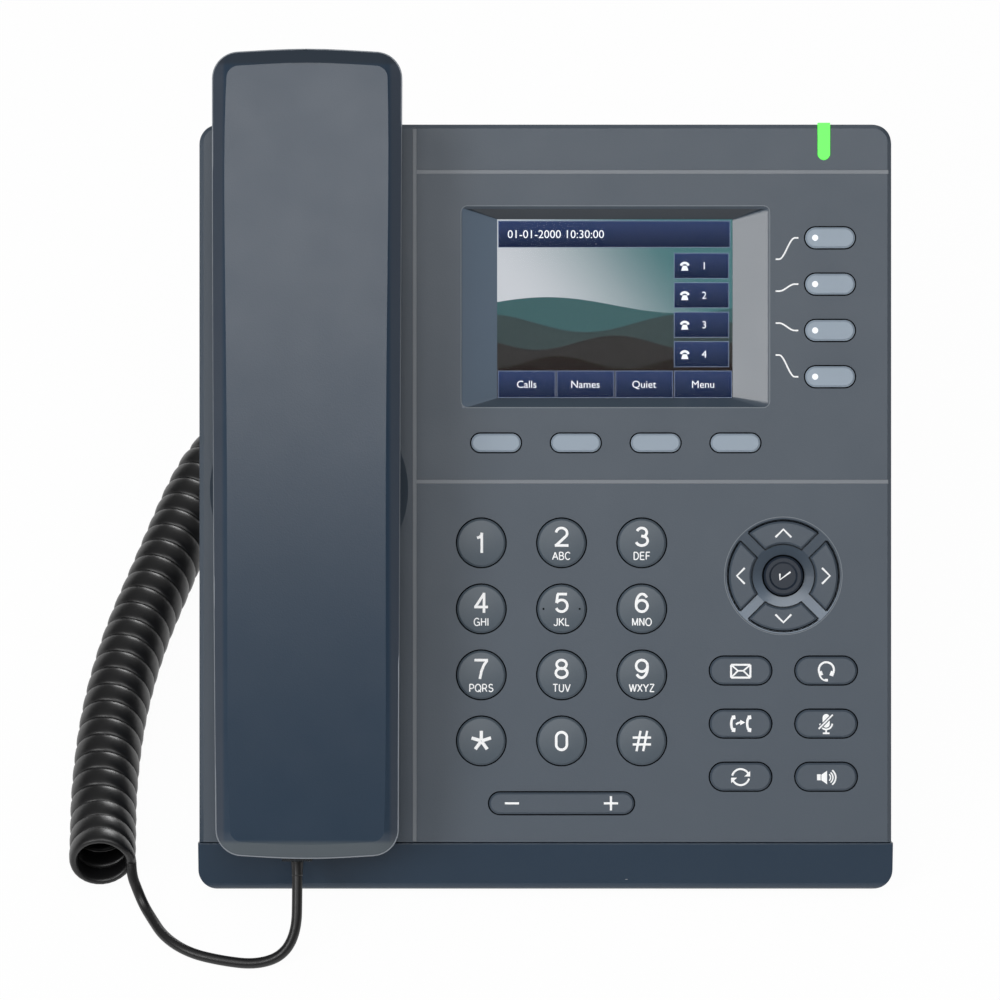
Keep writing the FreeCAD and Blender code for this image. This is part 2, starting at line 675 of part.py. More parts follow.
def tub_profile():
    foot_y = FOOT_FLAT * COS
    rise = UPPER_DEPTH - LOWER_DEPTH
    return [(CHIN_HEIGHT, -COVER_DEPTH, 0), (CHIN_HEIGHT, -CHIN_SINK, 0.4), (0, -CHIN_DROP, 2.2),
            (0, -BOTTOM_DEPTH, 0.5), (foot_y, -LOWER_DEPTH, 0.5), (STEP_Y, -LOWER_DEPTH, 3.0),
            (STEP_Y + rise, -UPPER_DEPTH, 4.0), (TAPER_Y, -UPPER_DEPTH, 8.0), (BODY_HEIGHT, -TOP_DEPTH, 3.0),
            (BODY_HEIGHT, -COVER_DEPTH, 0)]


def tub_hollow():
    rise = UPPER_DEPTH - LOWER_DEPTH
    lower, upper = LOWER_DEPTH - WALL, UPPER_DEPTH - WALL
    lag = WALL * 0.4
    return [(CHIN_HEIGHT, -COVER_DEPTH + 1, 0), (CHIN_HEIGHT, -lower, 0.8), (STEP_Y + lag, -lower, 3.0),
            (STEP_Y + lag + rise, -upper, 4.0), (TAPER_Y - lag, -upper, 6.0),
            (BODY_HEIGHT - WALL, -(TOP_DEPTH - WALL), 1.0), (BODY_HEIGHT - WALL, -COVER_DEPTH + 1, 0)]


def port_row():
    """(x, body length, body width) of every jack."""
    rows = [(x,) + NETWORK_BODY for x in NETWORK_X]
    rows += [(x,) + MODULAR_BODY for x in MODULAR_X]
    return rows + [(POWER_X, POWER_BODY, POWER_BODY)]


def base_mic_axis():
    """Middle of the chin's bottom wall."""
    return (CHIN_DROP + BOTTOM_DEPTH) / 2


def rear_tub():
    plan = rectangle(-HALF, HALF, 0, BODY_HEIGHT, CORNER_RADIUS)
    outer = side_prism(tub_profile(), -HALF, HALF).common(plan_prism(plan, -FAR, FAR))
    inner_half = HALF - WALL
    inner_plan = rectangle(-inner_half, inner_half, WALL, BODY_HEIGHT - WALL, CORNER_RADIUS - WALL / 2)
    hollow = side_prism(tub_hollow(), -inner_half, inner_half).common(plan_prism(inner_plan, -FAR, FAR))
    tub = outer.cut(hollow)
    bosses = [cylinder(x, y, BOSS_RADIUS, -UPPER_DEPTH, -COVER_DEPTH).common(outer) for x, y in SCREWS]
    tub = union([tub] + bosses)
    cuts = [cylinder(x, y, SHANK_HOLE, -FAR, 1) for x, y in SCREWS]
    cuts += [cylinder(x, y, BORE_RADIUS, -FAR, -COVER_DEPTH - SEAT_DEPTH) for x, y in SCREWS]
    cuts += [plan_prism(centred(x, JACK_Y, length + 2 * JACK_GAP, width + 2 * JACK_GAP), -FAR, -UPPER_DEPTH / 2)
             for x, length, width in port_row()]
    cuts += [block(x - TAB_WIDTH / 2 - TAB_GAP, x + TAB_WIDTH / 2 + TAB_GAP, y - TAB_THICK / 2 - TAB_GAP,
                   y + TAB_THICK / 2 + TAB_LIP + 2 * TAB_GAP, -UPPER_DEPTH - 1, -UPPER_DEPTH + WALL + 1)
             for x, y in HOOK_TABS]
    for x in (-KEYHOLE_X, KEYHOLE_X):
        cuts.append(cylinder(x, KEYHOLE_Y, KEYHOLE_HEAD, -UPPER_DEPTH - 1, -UPPER_DEPTH + WALL + 1))
        cuts.append(plan_prism(rectangle(x - KEYHOLE_SLOT, x + KEYHOLE_SLOT, KEYHOLE_Y,
                                         KEYHOLE_Y + KEYHOLE_RISE, KEYHOLE_SLOT),
                               -UPPER_DEPTH - 1, -UPPER_DEPTH + WALL + 1))
    depth = base_mic_axis()
    up = V(0, 1, 0)
    cuts.append(Part.makeCylinder(BASE_MIC_RADIUS + BASE_MIC_GAP, CHIN_HEIGHT, V(BASE_MIC_X, WALL, -depth), up))
    cuts.append(Part.makeCylinder(BASE_MIC_HOLE, WALL + 2, V(BASE_MIC_X, -1, -depth), up))
    return tub.cut(cuts)


def base_microphone():
    return Part.makeCylinder(BASE_MIC_RADIUS, BASE_MIC_LENGTH, V(BASE_MIC_X, WALL, -base_mic_axis()), V(0, 1, 0))


# Inside the housing

def screen_lens():
    return plan_prism(screen_rectangle(LENS_MARGIN), LENS_FLOOR, LENS_TOP)


def lcd_module():
    return plan_prism(screen_rectangle(LENS_MARGIN), BOARD_TOP + BOARD_CLEAR, LENS_FLOOR)


def message_lamp():
    """Light pipe that lies in the face and turns down over the top edge."""
    bar = plan_prism(lamp_corners(0, BODY_HEIGHT), -WALL, LAMP_PROUD)
    leg = block(LAMP_X - LAMP_WIDTH / 2, LAMP_X + LAMP_WIDTH / 2, COVER_TO - WALL, BODY_HEIGHT, -WALL - LAMP_LEG, 0)
    stem = block(LAMP_X - LAMP_WIDTH / 2, LAMP_X + LAMP_WIDTH / 2, COVER_TO - LAMP_LENGTH + LAMP_WIDTH,
                 BOARD_TOP_EDGE, BOARD_TOP + BOARD_CLEAR, -WALL)
    return union([bar, leg, stem])


def main_board():
    corners = [(BOARD_LEFT, BOARD_BOTTOM, 1), (BOARD_RIGHT, BOARD_BOTTOM, 1), (BOARD_RIGHT, BOARD_TOP_EDGE, 1),
               (BOARD_LEFT, BOARD_TOP_EDGE, 1), (BOARD_LEFT, TONGUE_TOP, 1), (TONGUE_LEFT, TONGUE_TOP, 1),
               (TONGUE_LEFT, TONGUE_BOTTOM, 1), (BOARD_LEFT, TONGUE_BOTTOM, 1)]
    board = plan_prism(corners, BOARD_FLOOR, BOARD_TOP)
    return board.cut([cylinder(x, y, POST_RADIUS + KEY_GAP, BOARD_FLOOR - 1, BOARD_TOP + 1) for x, y in SCREWS])


def key_membrane():
    left, right = BOARD_LEFT + 1, BOARD_RIGHT - 1
    corners = [(left, MEMBRANE_BOTTOM, 1), (right, MEMBRANE_BOTTOM, 1), (right, MEMBRANE_STRIP_TOP, 1),
               (MEMBRANE_STRIP, MEMBRANE_STRIP_TOP, 1), (MEMBRANE_STRIP, MEMBRANE_TOP_EDGE, 1),
               (left, MEMBRANE_TOP_EDGE, 1)]
    sheet = plan_prism(corners, BOARD_TOP, MEMBRANE_TOP)
    sheet = sheet.cut([cylinder(x, y, POST_RADIUS + KEY_GAP, BOARD_TOP - 1, MEMBRANE_TOP + 1) for x, y in SCREWS])
    domes = [cone(x, y, MEMBRANE_TOP, PAD_RADIUS * 1.4, PAD_TOP, PAD_RADIUS) for x, y in press_points()]
    return union([sheet] + domes)


def loudspeaker():
    top, rim = -WALL, SPEAKER_RADIUS
    floor = top - SPEAKER_DEPTH
    return revolve(HANDSET_X, SPEAKER_Y, [(rim - 2.5, top - 0.6), (rim - 2.5, top), (rim, top), (rim, top - 1.6),
                                          (rim - 3, top - 2), (SPEAKER_MAGNET, top - 8), (SPEAKER_MAGNET, floor),
                                          (0, floor), (0, top - 2.2), (5, top - 2.6)])


def socket(x, body, port):
    """Modular jack on the board's back with its port towards the back of the phone."""
    mouth = -UPPER_DEPTH + JACK_SINK
    jack = plan_prism(centred(x, JACK_Y, *body), mouth, BOARD_FLOOR)
    cavity = plan_prism(centred(x, JACK_Y, *port), mouth - 1, mouth + PORT_DEPTH)
    latch_low = JACK_Y + port[1] / 2
    latch_half = port[0] * LATCH_WIDTH / 2
    latch = block(x - latch_half, x + latch_half, latch_low - 0.1, latch_low + LATCH_DEPTH, mouth - 1, mouth + PORT_DEPTH)
    return jack.cut([cavity, latch])


def power_jack():
    mouth = -UPPER_DEPTH + JACK_SINK
    jack = plan_prism(centred(POWER_X, JACK_Y, POWER_BODY, POWER_BODY, 0.6), mouth, BOARD_FLOOR)
    jack = jack.cut(cylinder(POWER_X, JACK_Y, POWER_PORT_RADIUS, mouth - 1, mouth + PORT_DEPTH))
    return union([jack, cylinder(POWER_X, JACK_Y, POWER_PIN_RADIUS, mouth + 1, mouth + PORT_DEPTH + 0.5)])


def hook_switch():
    grow = HOOK_FLANGE + HOOK_GAP + HOOK_TUBE
    corners = centred(HANDSET_X, HOOK_Y, HOOK_LENGTH + 2 * grow, HOOK_WIDTH + 2 * grow, 1.0)
    return plan_prism(corners, hook_floor() - HOOK_BODY, hook_floor())


def hook_plunger():
    post = plan_prism(centred(HANDSET_X, HOOK_Y, HOOK_LENGTH, HOOK_WIDTH, HOOK_CORNER),
                      hook_flange_top() - FLANGE_THICK, WELL_FLOOR + HOOK_PROUD)
    flange = plan_prism(centred(HANDSET_X, HOOK_Y, HOOK_LENGTH + 2 * HOOK_FLANGE, HOOK_WIDTH + 2 * HOOK_FLANGE),
                        hook_flange_top() - FLANGE_THICK, hook_flange_top())
    return union([post, flange])


def housing_screws():
    seat = -COVER_DEPTH - SEAT_DEPTH
    return Part.makeCompound([
        union([cylinder(x, y, HEAD_RADIUS, seat - HEAD_THICK, seat),
               cylinder(x, y, SHANK_RADIUS, seat, -COVER_DEPTH + SHANK_INTO)]) for x, y in SCREWS])


# Feet and stand

def desk_block(left, right, near, far, low, high):
    """Box level with the desk, placed in the face frame."""
    box = Part.makeBox(right - left, far - near, high - low, V(left, near, low - DESK_DROP))
    box.rotate(V(0, 0, 0), V(1, 0, 0), -TILT_DEG)
    return box


def front_feet():
    """Rubber pads on the flat of the tub's lower edge."""
    near = BOTTOM_DEPTH * SIN + FOOT_FLAT - FRONT_PAD_BACK - FRONT_PAD[1]
    return Part.makeCompound([
        desk_block(x - FRONT_PAD[0] / 2, x + FRONT_PAD[0] / 2, near, near + FRONT_PAD[1], 0, PAD_THICK)
        for x in (-FRONT_PAD_X, FRONT_PAD_X)])


def rear_feet():
    near = STAND_FOOT_Y - REAR_PAD[1] / 2
    return Part.makeCompound([
        desk_block(x - REAR_PAD[0] / 2, x + REAR_PAD[0] / 2, near, near + REAR_PAD[1], 0, PAD_THICK)
        for x in (-REAR_PAD_X, REAR_PAD_X)])


def leg_profile(thick):
    """Side profile of the leg from the plate down to the foot."""
    back = -UPPER_DEPTH - STAND_THICK / 2
    low_near = from_desk(STAND_FOOT_Y - STAND_FOOT / 2, PAD_THICK + 1)
    low_far = from_desk(STAND_FOOT_Y - STAND_FOOT / 2 + thick, PAD_THICK + 1)
    return [(STAND_ROOT - thick, back, 0), low_near + (0,), low_far + (0,), (STAND_ROOT + thick / 2, back, 0)]


def desk_stand():
    """Foot stand: a plate hooked to the tub's back and a ribbed leg down to the desk."""
    back = -UPPER_DEPTH
    plate = plan_prism(rectangle(-STAND_HALF, STAND_HALF, *STAND_PLATE, 5.0), back - STAND_THICK, back)
    web = side_prism(leg_profile(STAND_THICK * 1.4), -STAND_HALF, STAND_HALF)
    ribs = [side_prism(leg_profile(STAND_RIB_DEEP), x, x + STAND_RIB) for x in (-STAND_HALF, STAND_HALF - STAND_RIB)]
    foot = desk_block(-STAND_HALF, STAND_HALF, STAND_FOOT_Y - STAND_FOOT / 2, STAND_FOOT_Y + STAND_FOOT / 2,
                      PAD_THICK, PAD_THICK + STAND_FOOT_HIGH)
    tabs = []
    for x, y in HOOK_TABS:
        inner = back + WALL + TAB_GAP
        tabs.append(block(x - TAB_WIDTH / 2, x + TAB_WIDTH / 2, y - TAB_THICK / 2, y + TAB_THICK / 2,
                          back, inner + TAB_LIP_THICK))
        tabs.append(block(x - TAB_WIDTH / 2, x + TAB_WIDTH / 2, y - TAB_THICK / 2, y + TAB_THICK / 2 + TAB_LIP,
                          inner, inner + TAB_LIP_THICK))
    stand = union([plate, web, foot] + ribs + tabs)
    window = desk_block(-WINDOW_HALF, WINDOW_HALF, 0, FAR, WINDOW_LOW, WINDOW_HIGH)
    vertical = [e for e in window.Edges if e.Length > FAR - 1]
    window = window.makeFillet(6.0, vertical)
    return stand.cut(window)


# Handset

def handset_outline(inset):
    """Plan outline: bowed ends and sides that close in towards the mouth end."""
    half = HANDSET_WIDTH / 2 - inset
    low, high = HANDSET_BOTTOM + inset, HANDSET_TOP - inset
    bow = HANDSET_END_BOW
    radius = HANDSET_CORNER - inset / 2
    low_half = half - HANDSET_TAPER
    corners = [(HANDSET_X - low_half, low + bow, radius), (HANDSET_X, low - bow * 0.1, HANDSET_END_RADIUS),
               (HANDSET_X + low_half, low + bow, radius), (HANDSET_X + half, high - bow, radius),
               (HANDSET_X, high + bow * 0.1, HANDSET_END_RADIUS), (HANDSET_X - half, high - bow, radius)]
    return corners


def handset_profile(inset):
    """Side profile between the arched outer surface and the underside, as a wire."""
    low, high = HANDSET_BOTTOM - 5, HANDSET_TOP + 5
    middle = (HANDSET_BOTTOM + HANDSET_TOP) / 2
    left = HANDSET_X - HANDSET_WIDTH

    def at(y, z):
        return V(left, y, z)
    top = Part.Arc(at(low, HANDSET_END_Z - inset), at(middle, HANDSET_MID_Z - inset),
                   at(high, HANDSET_END_Z - inset)).toShape()
    under = Part.Arc(at(GRIP_FROM, UNDER_END_Z + inset), at((GRIP_FROM + GRIP_TO) / 2, UNDER_MID_Z + inset),
                     at(GRIP_TO, UNDER_END_Z + inset)).toShape()
    sides = [
        Part.LineSegment(at(high, HANDSET_END_Z - inset), at(high, UNDER_END_Z + inset)).toShape(),
        Part.LineSegment(at(high, UNDER_END_Z + inset), at(GRIP_TO, UNDER_END_Z + inset)).toShape(),
        Part.LineSegment(at(GRIP_FROM, UNDER_END_Z + inset), at(low, UNDER_END_Z + inset)).toShape(),
        Part.LineSegment(at(low, UNDER_END_Z + inset), at(low, HANDSET_END_Z - inset)).toShape(),
    ]
    return Part.Wire(Part.__sortEdges__([top, under] + sides))


def handset_bar(inset):
    profile = Part.Face(handset_profile(inset)).extrude(V(2 * HANDSET_WIDTH, 0, 0))
    return profile.common(plan_prism(handset_outline(inset), -FAR, FAR))


def cup(span, inset):
    corners = rectangle(HANDSET_X - CUP_WIDTH / 2 + inset, HANDSET_X + CUP_WIDTH / 2 - inset,
                        span[0] + inset, span[1] - inset, CUP_CORNER - inset)
    floor = CUP_FLOOR_Z + inset
    solid = plan_prism(corners, floor, UNDER_END_Z + HANDSET_WALL + 1)
    return solid.makeFillet(max(CUP_EDGE - inset, 0.4), edges_at(solid, floor))


def handset_jack_middle():
    return (UNDER_END_Z + HANDSET_END_Z) / 2


def handset_shells():
    """Outer and inner half shells of the handset."""
    bar = handset_bar(0)
    top_edges = [e for e in bar.Edges if e.BoundBox.ZMin > HANDSET_PART_Z]
    bar = bar.makeChamfer(HANDSET_BEVEL, HANDSET_BEVEL_DROP, top_edges)
    spans = (EAR_CUP, MOUTH_CUP)
    hollow = union([handset_bar(HANDSET_WALL)] + [cup(span, HANDSET_WALL) for span in spans])
    body = union([bar] + [cup(span, 0) for span in spans]).cut(hollow)
    low, high = CUP_FLOOR_Z - 1, CUP_FLOOR_Z + HANDSET_WALL + 1
    ear_holes = grille_points(HANDSET_X, sum(EAR_CUP) / 2, 3.6, 2)
    mouth_holes = grille_points(HANDSET_X, sum(MOUTH_CUP) / 2, 2.4, 1)
    cuts = [cylinder(x, y, GRILLE_HOLE, low, high) for x, y in ear_holes]
    cuts += [cylinder(x, y, GRILLE_HOLE * 0.8, low, high) for x, y in mouth_holes]
    middle = handset_jack_middle()
    half_width, half_height = MODULAR_PORT[0] / 2 + PLUG_GAP, MODULAR_PORT[1] / 2 + PLUG_GAP
    cuts.append(block(PORT_X - half_width, PORT_X + half_width, HANDSET_BOTTOM - 5,
                      HANDSET_BOTTOM + 2 * HANDSET_WALL, middle - half_height, middle + half_height))
    body = body.cut(cuts)
    upper = block(-FAR, FAR, -FAR, FAR, HANDSET_PART_Z, FAR)
    return body.common(upper), body.cut(upper)


def receiver_capsule():
    floor = CUP_FLOOR_Z + HANDSET_WALL
    return cylinder(HANDSET_X, sum(EAR_CUP) / 2, RECEIVER_RADIUS, floor, floor + RECEIVER_HEIGHT)


def microphone_capsule():
    floor = CUP_FLOOR_Z + HANDSET_WALL
    return cylinder(HANDSET_X, sum(MOUTH_CUP) / 2, MIC_RADIUS, floor, floor + MIC_HEIGHT)


def handset_jack():
    """Jack behind the mouth end's wall, entered from below."""
    middle = handset_jack_middle()
    near = HANDSET_BOTTOM + HANDSET_WALL + HANDSET_END_BOW
    width, height = MODULAR_BODY
    body = block(PORT_X - width / 2, PORT_X + width / 2, near, near + PORT_DEPTH + 2, middle - height / 2, middle + height / 2)
    port = block(PORT_X - MODULAR_PORT[0] / 2, PORT_X + MODULAR_PORT[0] / 2, near - 1, near + PORT_DEPTH,
                 middle - MODULAR_PORT[1] / 2, middle + MODULAR_PORT[1] / 2)
    return body.cut(port)


# Cord

def plug_size():
    return MODULAR_PORT[0] - 2 * PLUG_GAP, MODULAR_PORT[1] - 2 * PLUG_GAP


def handset_plug():
    width, height = plug_size()
    middle = handset_jack_middle()
    return block(PORT_X - width / 2, PORT_X + width / 2, HANDSET_BOTTOM - HANDSET_PLUG_OUT,
                 HANDSET_BOTTOM + PLUG_IN,
                 middle - height / 2, middle + height / 2)


def base_plug():
    x, mouth = MODULAR_X[0], -UPPER_DEPTH + JACK_SINK
    return plan_prism(centred(x, JACK_Y, *plug_size()), mouth - PLUG_OUT, mouth + PLUG_IN)


def tangent_path(points):
    """Straight runs with a tangent arc at every inner point, and the arcs' radii."""
    points = [V(*p) for p in points]
    edges, radii = [], []
    last = points[0]
    for before, here, after in zip(points, points[1:], points[2:]):
        back, ahead = before - here, after - here
        reach = 0.45 * min(back.Length, ahead.Length)
        back.normalize()
        ahead.normalize()
        half_turn = (math.pi - back.getAngle(ahead)) / 2
        start, end = here + back * reach, here + ahead * reach
        radius = reach / math.tan(half_turn)
        inward = back + ahead
        inward.normalize()
        middle = here + inward * (radius / math.cos(half_turn) - radius)
        edges.append(Part.LineSegment(last, start).toShape())
        edges.append(Part.Arc(start, middle, end).toShape())
        radii.append(radius)
        last = end
    edges.append(Part.LineSegment(last, points[-1]).toShape())
    return edges, radii


def pipe(edges, diameter):
    """Solid round tube along a chain of edges."""
    start = edges[0].valueAt(edges[0].FirstParameter)
    ahead = edges[0].tangentAt(edges[0].FirstParameter)
    ring = Part.Wire(Part.makeCircle(diameter / 2, start, ahead))
    return Part.Wire(edges).makePipeShell([ring], True, False)


def lead(name, points):
    edges, radii = tangent_path(points)
    length = sum(e.Length for e in edges)
    solid = pipe(edges, LEAD_DIAMETER)
    share = solid.Volume / (length * math.pi * LEAD_DIAMETER ** 2 / 4)
    print("%s: length %.1f, volume share %.3f, radii %s" % (name, length, share, ["%.1f" % r for r in radii]))
    return solid


class CoilPath:
    """Helix of the coil round its axis route, opening out over the last quarter turn at both ends."""

    def __init__(self):
        self.axis, _ = tangent_path([(x, y, COIL_HEIGHT) for x, y in COIL_ROUTE])
        self.radius = (COIL_OUTSIDE - COIL_WIRE) / 2
        self.quarter = math.pi / 2
        self.turn = 2 * math.pi * COIL_TURNS + 3 * self.quarter
        length = sum(e.Length for e in self.axis)
        self.rate = (length - self.radius * self.quarter) / (self.turn - self.quarter)

    def along(self, angle):
        """Axis distance at an angle of the helix."""
        if angle > self.turn / 2:
            return sum(e.Length for e in self.axis) - self.along(self.turn - angle)
        if angle < self.quarter:
            return self.radius * angle + (self.rate - self.radius) * angle ** 2 / (2 * self.quarter)
        return (self.radius + self.rate) * self.quarter / 2 + self.rate * (angle - self.quarter)

    def speed(self, angle):
        end = min(angle, self.turn - angle)
        if end < self.quarter:
            return self.radius + (self.rate - self.radius) * end / self.quarter
        return self.rate

    def axis_at(self, distance):
        for edge in self.axis:
            if distance <= edge.Length + 1e-9 or edge is self.axis[-1]:
                place = edge.getParameterByLength(min(max(distance, 0), edge.Length))
                return edge.valueAt(place), edge.tangentAt(place)
            distance -= edge.Length

    def at(self, angle):
        """Point and direction of the wire."""
        centre, ahead = self.axis_at(self.along(angle))
        up = V(0, 0, 1)
        right = ahead.cross(up)
        out = right * math.cos(angle) + up * math.sin(angle)
        round_way = up * math.cos(angle) - right * math.sin(angle)
        direction = round_way * self.radius + ahead * self.speed(angle)
        direction.normalize()
        return centre + out * self.radius, direction


def arc_from(start, direction, end):
    """Arc that leaves start along direction and passes through end."""
    chord = end - start
    length = chord.Length
    unit = V(chord)
    unit.normalize()
    side = direction - unit * direction.dot(unit)
    side.normalize()
    half_angle = direction.getAngle(chord) / 2
    middle = start + chord * 0.5 + side * (length / 2 * math.tan(half_angle))
    return Part.Arc(start, middle, end).toShape()


def biarc(start, first, end, last):
    """Two tangent arcs between two points with given directions."""
    gap = end - start
    both = first + last
    spread = 2 * (1 - first.dot(last))
    reach = (-gap.dot(both) + math.sqrt(gap.dot(both) ** 2 + spread * gap.dot(gap))) / spread
    join = (start + first * reach + end - last * reach) * 0.5
    return [arc_from(start, first, join), arc_from(end, -last, join)]


def coil_edges():
    path = CoilPath()
    steps = round(path.turn / path.quarter)
    stations = [path.at(path.turn * i / steps) for i in range(steps + 1)]
    edges = []
    for (start, first), (end, last) in zip(stations, stations[1:]):
        edges += biarc(start, first, end, last)
    near, near_way = stations[0]
    far, far_way = stations[-1]
    near_end, far_end = near - near_way * COIL_WIRE, far + far_way * COIL_WIRE
    edges = [Part.LineSegment(near_end, near).toShape()] + edges + [Part.LineSegment(far, far_end).toShape()]
    samples = [path.at(path.turn * i / (steps * 6))[0] for i in range(steps * 6 + 1)]
    least = min((samples[i] - samples[j]).Length for i in range(len(samples)) for j in range(i + 12, min(i + 40, len(samples))))
    length = sum(e.Length for e in edges)
    print("coil: wire length %.1f, pitch %.2f, least gap between turns %.2f" % (length, 2 * math.pi * path.rate, least - COIL_WIRE))
    print("coil ends: %s %s" % (near_end, far_end))
    return edges, near_end, far_end


def cord_pieces(place):
    """Coil and both leads in the desk frame, the leads running on to the plugs."""
    edges, near_end, far_end = coil_edges()
    handset_exit = place.multVec(V(PORT_X, HANDSET_BOTTOM - HANDSET_PLUG_OUT, handset_jack_middle()))
    handset_run = place.multVec(V(PORT_X, HANDSET_BOTTOM - HANDSET_PLUG_OUT - LEAD_STRAIGHT, handset_jack_middle()))
    base_exit = place.multVec(V(MODULAR_X[0], JACK_Y, -UPPER_DEPTH + JACK_SINK - PLUG_OUT))
    print("plug exits: %s %s" % (handset_exit, base_exit))
    return {
        "cord_coil": pipe(edges, COIL_WIRE),
        "cord_handset_lead": lead("handset lead", [tuple(near_end)] + list(HANDSET_LEAD_ROUTE)
                                  + [tuple(handset_run), tuple(handset_exit)]),
        "cord_base_lead": lead("base lead", [tuple(far_end)] + list(BASE_LEAD_ROUTE) + [tuple(base_exit)]),
    }


# Export

def stance(centre):
    """Face frame to desk frame, with the origin on the desk under the middle of the phone."""
    turn = FreeCAD.Rotation(V(1, 0, 0), TILT_DEG)
    return FreeCAD.Placement(V(0, -centre, DESK_DROP), turn)


def make_pieces():
    outer, inner = handset_shells()
    pieces = {
        "front_cover": front_cover(), "rear_tub": rear_tub(), "screen_lens": screen_lens(),
        "lcd_module": lcd_module(), "message_lamp": message_lamp(), "main_board": main_board(),
        "key_membrane": key_membrane(), "loudspeaker": loudspeaker(), "base_microphone": base_microphone(),
        "network_jacks": Part.makeCompound([socket(x, NETWORK_BODY, NETWORK_PORT) for x in NETWORK_X]),
        "modular_jacks": Part.makeCompound([socket(x, MODULAR_BODY, MODULAR_PORT) for x in MODULAR_X]),
        "power_jack": power_jack(), "hook_switch": hook_switch(), "hook_plunger": hook_plunger(),
        "housing_screws": housing_screws(), "front_feet": front_feet(), "rear_feet": rear_feet(),
        "desk_stand": desk_stand(), "handset_outer_shell": outer, "handset_inner_shell": inner,
        "receiver_capsule": receiver_capsule(), "microphone_capsule": microphone_capsule(),
        "handset_jack": handset_jack(), "handset_plug": handset_plug(), "base_plug": base_plug(),
    }
    pieces.update(make_keys())
    return pieces


def main():
    os.makedirs("parts", exist_ok=True)
    pieces = make_pieces()
    level = stance(0)
    for shape in pieces.values():
        shape.Placement = level.multiply(shape.Placement)
    box = Part.makeCompound(list(pieces.values())).optimalBoundingBox()
    centre = (box.YMin + box.YMax) / 2
    print("level distance from the face's lower edge to the origin: %.3f" % centre)
    print("size: %.1f x %.1f x %.1f" % (box.XLength, box.YLength, box.ZLength))
    for shape in pieces.values():
        shape.translate(V(0, -centre, 0))
    pieces.update(cord_pieces(stance(centre)))
    for name, shape in pieces.items():
        if not shape.isValid():
            print("not valid:", name)
        shape.exportStep("parts/%s.step" % name)


main()
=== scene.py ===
"""Desk telephone: finishes, legends, screen picture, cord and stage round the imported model."""

import json
import math

import bmesh
import bpy
from bpy.props import FloatProperty, FloatVectorProperty, IntProperty, PointerProperty
from mathutils import Matrix, Vector, geometry


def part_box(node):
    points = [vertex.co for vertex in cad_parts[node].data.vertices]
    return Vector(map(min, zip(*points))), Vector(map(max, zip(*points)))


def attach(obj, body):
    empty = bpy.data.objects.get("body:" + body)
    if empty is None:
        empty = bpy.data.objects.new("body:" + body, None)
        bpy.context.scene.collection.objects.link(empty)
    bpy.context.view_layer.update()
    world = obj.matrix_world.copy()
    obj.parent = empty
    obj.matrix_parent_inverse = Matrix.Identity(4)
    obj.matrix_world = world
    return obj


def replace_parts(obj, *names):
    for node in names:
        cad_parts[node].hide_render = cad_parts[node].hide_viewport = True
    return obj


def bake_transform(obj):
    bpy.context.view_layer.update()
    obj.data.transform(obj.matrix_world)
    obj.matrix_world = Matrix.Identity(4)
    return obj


bl_info = {
    "name": "Desk telephone dresser",
    "version": (1, 0, 0),
    "blender": (4, 5, 0),
    "location": "3D View > Sidebar > Telephone",
    "description": "Dresses the packed desk telephone with its finishes, legends, cord and stage",
    "category": "Object",
}

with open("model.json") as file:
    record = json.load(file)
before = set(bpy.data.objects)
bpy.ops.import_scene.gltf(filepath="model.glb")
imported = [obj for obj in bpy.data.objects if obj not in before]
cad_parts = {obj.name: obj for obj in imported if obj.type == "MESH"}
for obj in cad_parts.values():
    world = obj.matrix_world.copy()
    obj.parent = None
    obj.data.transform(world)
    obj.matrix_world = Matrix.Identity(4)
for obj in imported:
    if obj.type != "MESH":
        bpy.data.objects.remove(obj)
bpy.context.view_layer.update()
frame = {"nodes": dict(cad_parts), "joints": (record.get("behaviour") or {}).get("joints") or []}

MM = 0.001
JOINTS = {joint["name"]: joint for joint in frame["joints"]}

# Face frame: x to the right, y up the face, z out of it, in millimetres.
# The rocker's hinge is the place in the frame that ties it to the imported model.
ROCKER_HINGE = Vector((3.94, 21.3, -3.3))
FACE_RIGHT = Vector((1, 0, 0))
FACE_UP = Vector(JOINTS["volume_tip"]["axis"]).normalized()
FACE_OUT = FACE_RIGHT.cross(FACE_UP)
FACE_TURN = Matrix((FACE_RIGHT, FACE_UP, FACE_OUT)).transposed()
FACE_ORIGIN = Vector(JOINTS["volume_tip"]["pos_m"]) - FACE_TURN @ (ROCKER_HINGE * MM)
FACE = Matrix.Translation(FACE_ORIGIN) @ FACE_TURN.to_4x4() @ Matrix.Scale(MM, 4)

# Lit picture of the screen, in face millimetres
SCREEN_LEFT, SCREEN_RIGHT = -11.9, 46.1
SCREEN_BOTTOM, SCREEN_TOP = 121.0, 165.1
SCREEN_DEPTH = -4.77

# From a plug's middle to the middle of the end where its cord leaves, in face millimetres
PLUG_REACH = {"handset_plug": Vector((0, -4.9, 0)), "base_plug": Vector((0, 0, -6.0))}

# Height of the print on the function keys and the volume key, and the thickness of the dark lines of painted
# shade round the keys
BAR_KEY_TOP = 0.61
SHADOW_LINE_THICK = 0.5

# Noise in the plastics, in repeats per metre, and the depth of their grain in metres
GRAIN, MOTTLE, GLOSS = 2600.0, 38.0, 90.0
GRAIN_DEPTH = 0.00004

DIGIT_DRAWN = 4.9           # height at which the digits' lines are drawn
DIGIT_LETTERS = {"1": "", "2": "ABC", "3": "DEF", "4": "GHI", "5": "JKL", "6": "MNO", "7": "PQRS",
                 "8": "TUV", "9": "WXYZ", "star": "", "0": "", "hash": ""}

